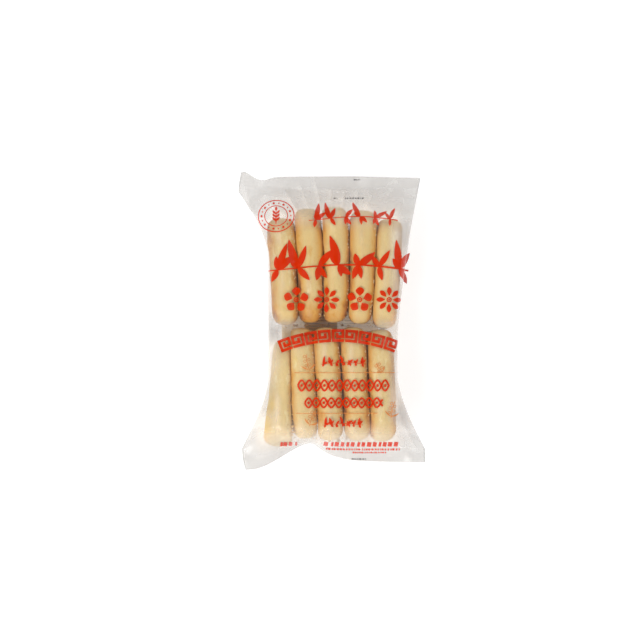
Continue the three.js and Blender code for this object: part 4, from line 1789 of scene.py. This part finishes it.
class StageSettings(bpy.types.PropertyGroup):
    """Floor, light and camera."""

    floor: colour_setting("Floor", "Pale studio floor", (0.6, 0.6, 0.6))
    glow: number_setting("Glow", "Light of the table itself", 0.6)
    sky: number_setting("Sky", "Strength of the even light", 0.64)
    overhead: share_setting("Overhead", "Share of the even light that comes from straight above", 0.12)
    key: number_setting("Key lamp", "Power of the main lamp", 20.0, subtype="POWER")
    fill: number_setting("Fill lamp", "Power of the second lamp", 7.0, subtype="POWER")
    lens: number_setting("Lens", "Focal length of the camera", 100.0, min=10.0, subtype="DISTANCE_CAMERA")
    frame_wide: number_setting(
        "Frame width", "Width the camera sees at the height of the side edges", 0.72,
        min=0.1, unit="LENGTH")
    aim: bpy.props.FloatVectorProperty(
        name="Aim", description="Where the camera looks straight down", size=2,
        default=(-0.0135, 0.0011), subtype="XYZ", unit="LENGTH")


# ---- Operators ---------------------------------------------------------------

class FLATBREAD_OT_film(bpy.types.Operator):
    """Make the clear film of the bag"""

    bl_idname = "flatbread.film"
    bl_label = "Film"

    def execute(self, context):
        build_film(context.scene.flatbread_film)
        return {"FINISHED"}


class FLATBREAD_OT_breads(bpy.types.Operator):
    """Make the ten breads that stand in the bag"""

    bl_idname = "flatbread.breads"
    bl_label = "Breads"

    def execute(self, context):
        build_breads(context.scene.flatbread_bread)
        return {"FINISHED"}


class FLATBREAD_OT_seeds(bpy.types.Operator):
    """Scatter sesame on the breads and crumbs between them"""

    bl_idname = "flatbread.seeds"
    bl_label = "Sesame and crumbs"

    def execute(self, context):
        build_seeds(context.scene.flatbread_bread)
        build_crumbs(context.scene.flatbread_bread)
        return {"FINISHED"}


class FLATBREAD_OT_print(bpy.types.Operator):
    """Print the badge, sprays, blossoms, borders and marks on the film"""

    bl_idname = "flatbread.print"
    bl_label = "Print"

    def execute(self, context):
        inks = context.scene.flatbread_print
        red = ink_material("red_ink", inks.red, inks.cover)
        orange = ink_material("orange_ink", inks.orange, INK_COVERS["orange"])
        grey = ink_material("grey_ink", inks.grey, INK_COVERS["grey"])
        build_badge(red)
        build_garlands(red)
        build_blossoms(red)
        build_borders(red)
        build_fine_lines(orange)
        build_small_marks(red, grey)
        return {"FINISHED"}


class FLATBREAD_OT_back(bpy.types.Operator):
    """Make the back of the bag, its ruled panels and its long seam"""

    bl_idname = "flatbread.back"
    bl_label = "Back of the bag"

    def execute(self, context):
        inks = context.scene.flatbread_print
        # The back panels' inks also paint the shade and the warm bounced light of the gap between the
        # rows.
        panel = ink_material("panel_ink", inks.panel, INK_COVERS["panel"])
        beige = ink_material("beige_ink", inks.beige, INK_COVERS["beige"])
        pale = ink_material("pale_ink", inks.pale, INK_COVERS["pale"])
        build_back_print({"middle": panel, "left": beige, "right": beige, "lines": pale})
        build_back_seam(context.scene.flatbread_film)
        return {"FINISHED"}


class FLATBREAD_OT_stage(bpy.types.Operator):
    """Make the floor, the lights and the overhead camera"""

    bl_idname = "flatbread.stage"
    bl_label = "Stage"

    def execute(self, context):
        build_stage(context.scene.flatbread_stage)
        return {"FINISHED"}


class FLATBREAD_PT_panel(bpy.types.Panel):
    """Lists the pieces of the bag and their settings"""

    bl_idname = "FLATBREAD_PT_panel"
    bl_label = "Flatbread bag"
    bl_space_type = "VIEW_3D"
    bl_region_type = "UI"
    bl_category = "Flatbread bag"

    def draw(self, context):
        column = self.layout.column()
        for operator in OPERATORS:
            column.operator(operator.bl_idname)
        for key in SETTINGS:
            group = getattr(context.scene, key)
            column.separator()
            for label in group.__annotations__:
                column.prop(group, label)


SETTINGS = {
    "flatbread_film": FilmSettings,
    "flatbread_bread": BreadSettings,
    "flatbread_print": PrintSettings,
    "flatbread_stage": StageSettings,
}
OPERATORS = (
    FLATBREAD_OT_film,
    FLATBREAD_OT_breads,
    FLATBREAD_OT_seeds,
    FLATBREAD_OT_print,
    FLATBREAD_OT_back,
    FLATBREAD_OT_stage,
)


def register():
    """Registers the settings, the operators and the panel."""
    for key, group in SETTINGS.items():
        bpy.utils.register_class(group)
        setattr(bpy.types.Scene, key, bpy.props.PointerProperty(type=group))
    for operator in OPERATORS:
        bpy.utils.register_class(operator)
    bpy.utils.register_class(FLATBREAD_PT_panel)


def unregister():
    """Takes away what register added, in the opposite order."""
    bpy.utils.unregister_class(FLATBREAD_PT_panel)
    for operator in reversed(OPERATORS):
        bpy.utils.unregister_class(operator)
    for key, group in reversed(SETTINGS.items()):
        delattr(bpy.types.Scene, key)
        bpy.utils.unregister_class(group)


def main():
    register()
    bpy.ops.flatbread.film()
    bpy.ops.flatbread.breads()
    bpy.ops.flatbread.seeds()
    bpy.ops.flatbread.print()
    bpy.ops.flatbread.back()
    bpy.ops.flatbread.stage()


if __name__ == "__main__":
    main()
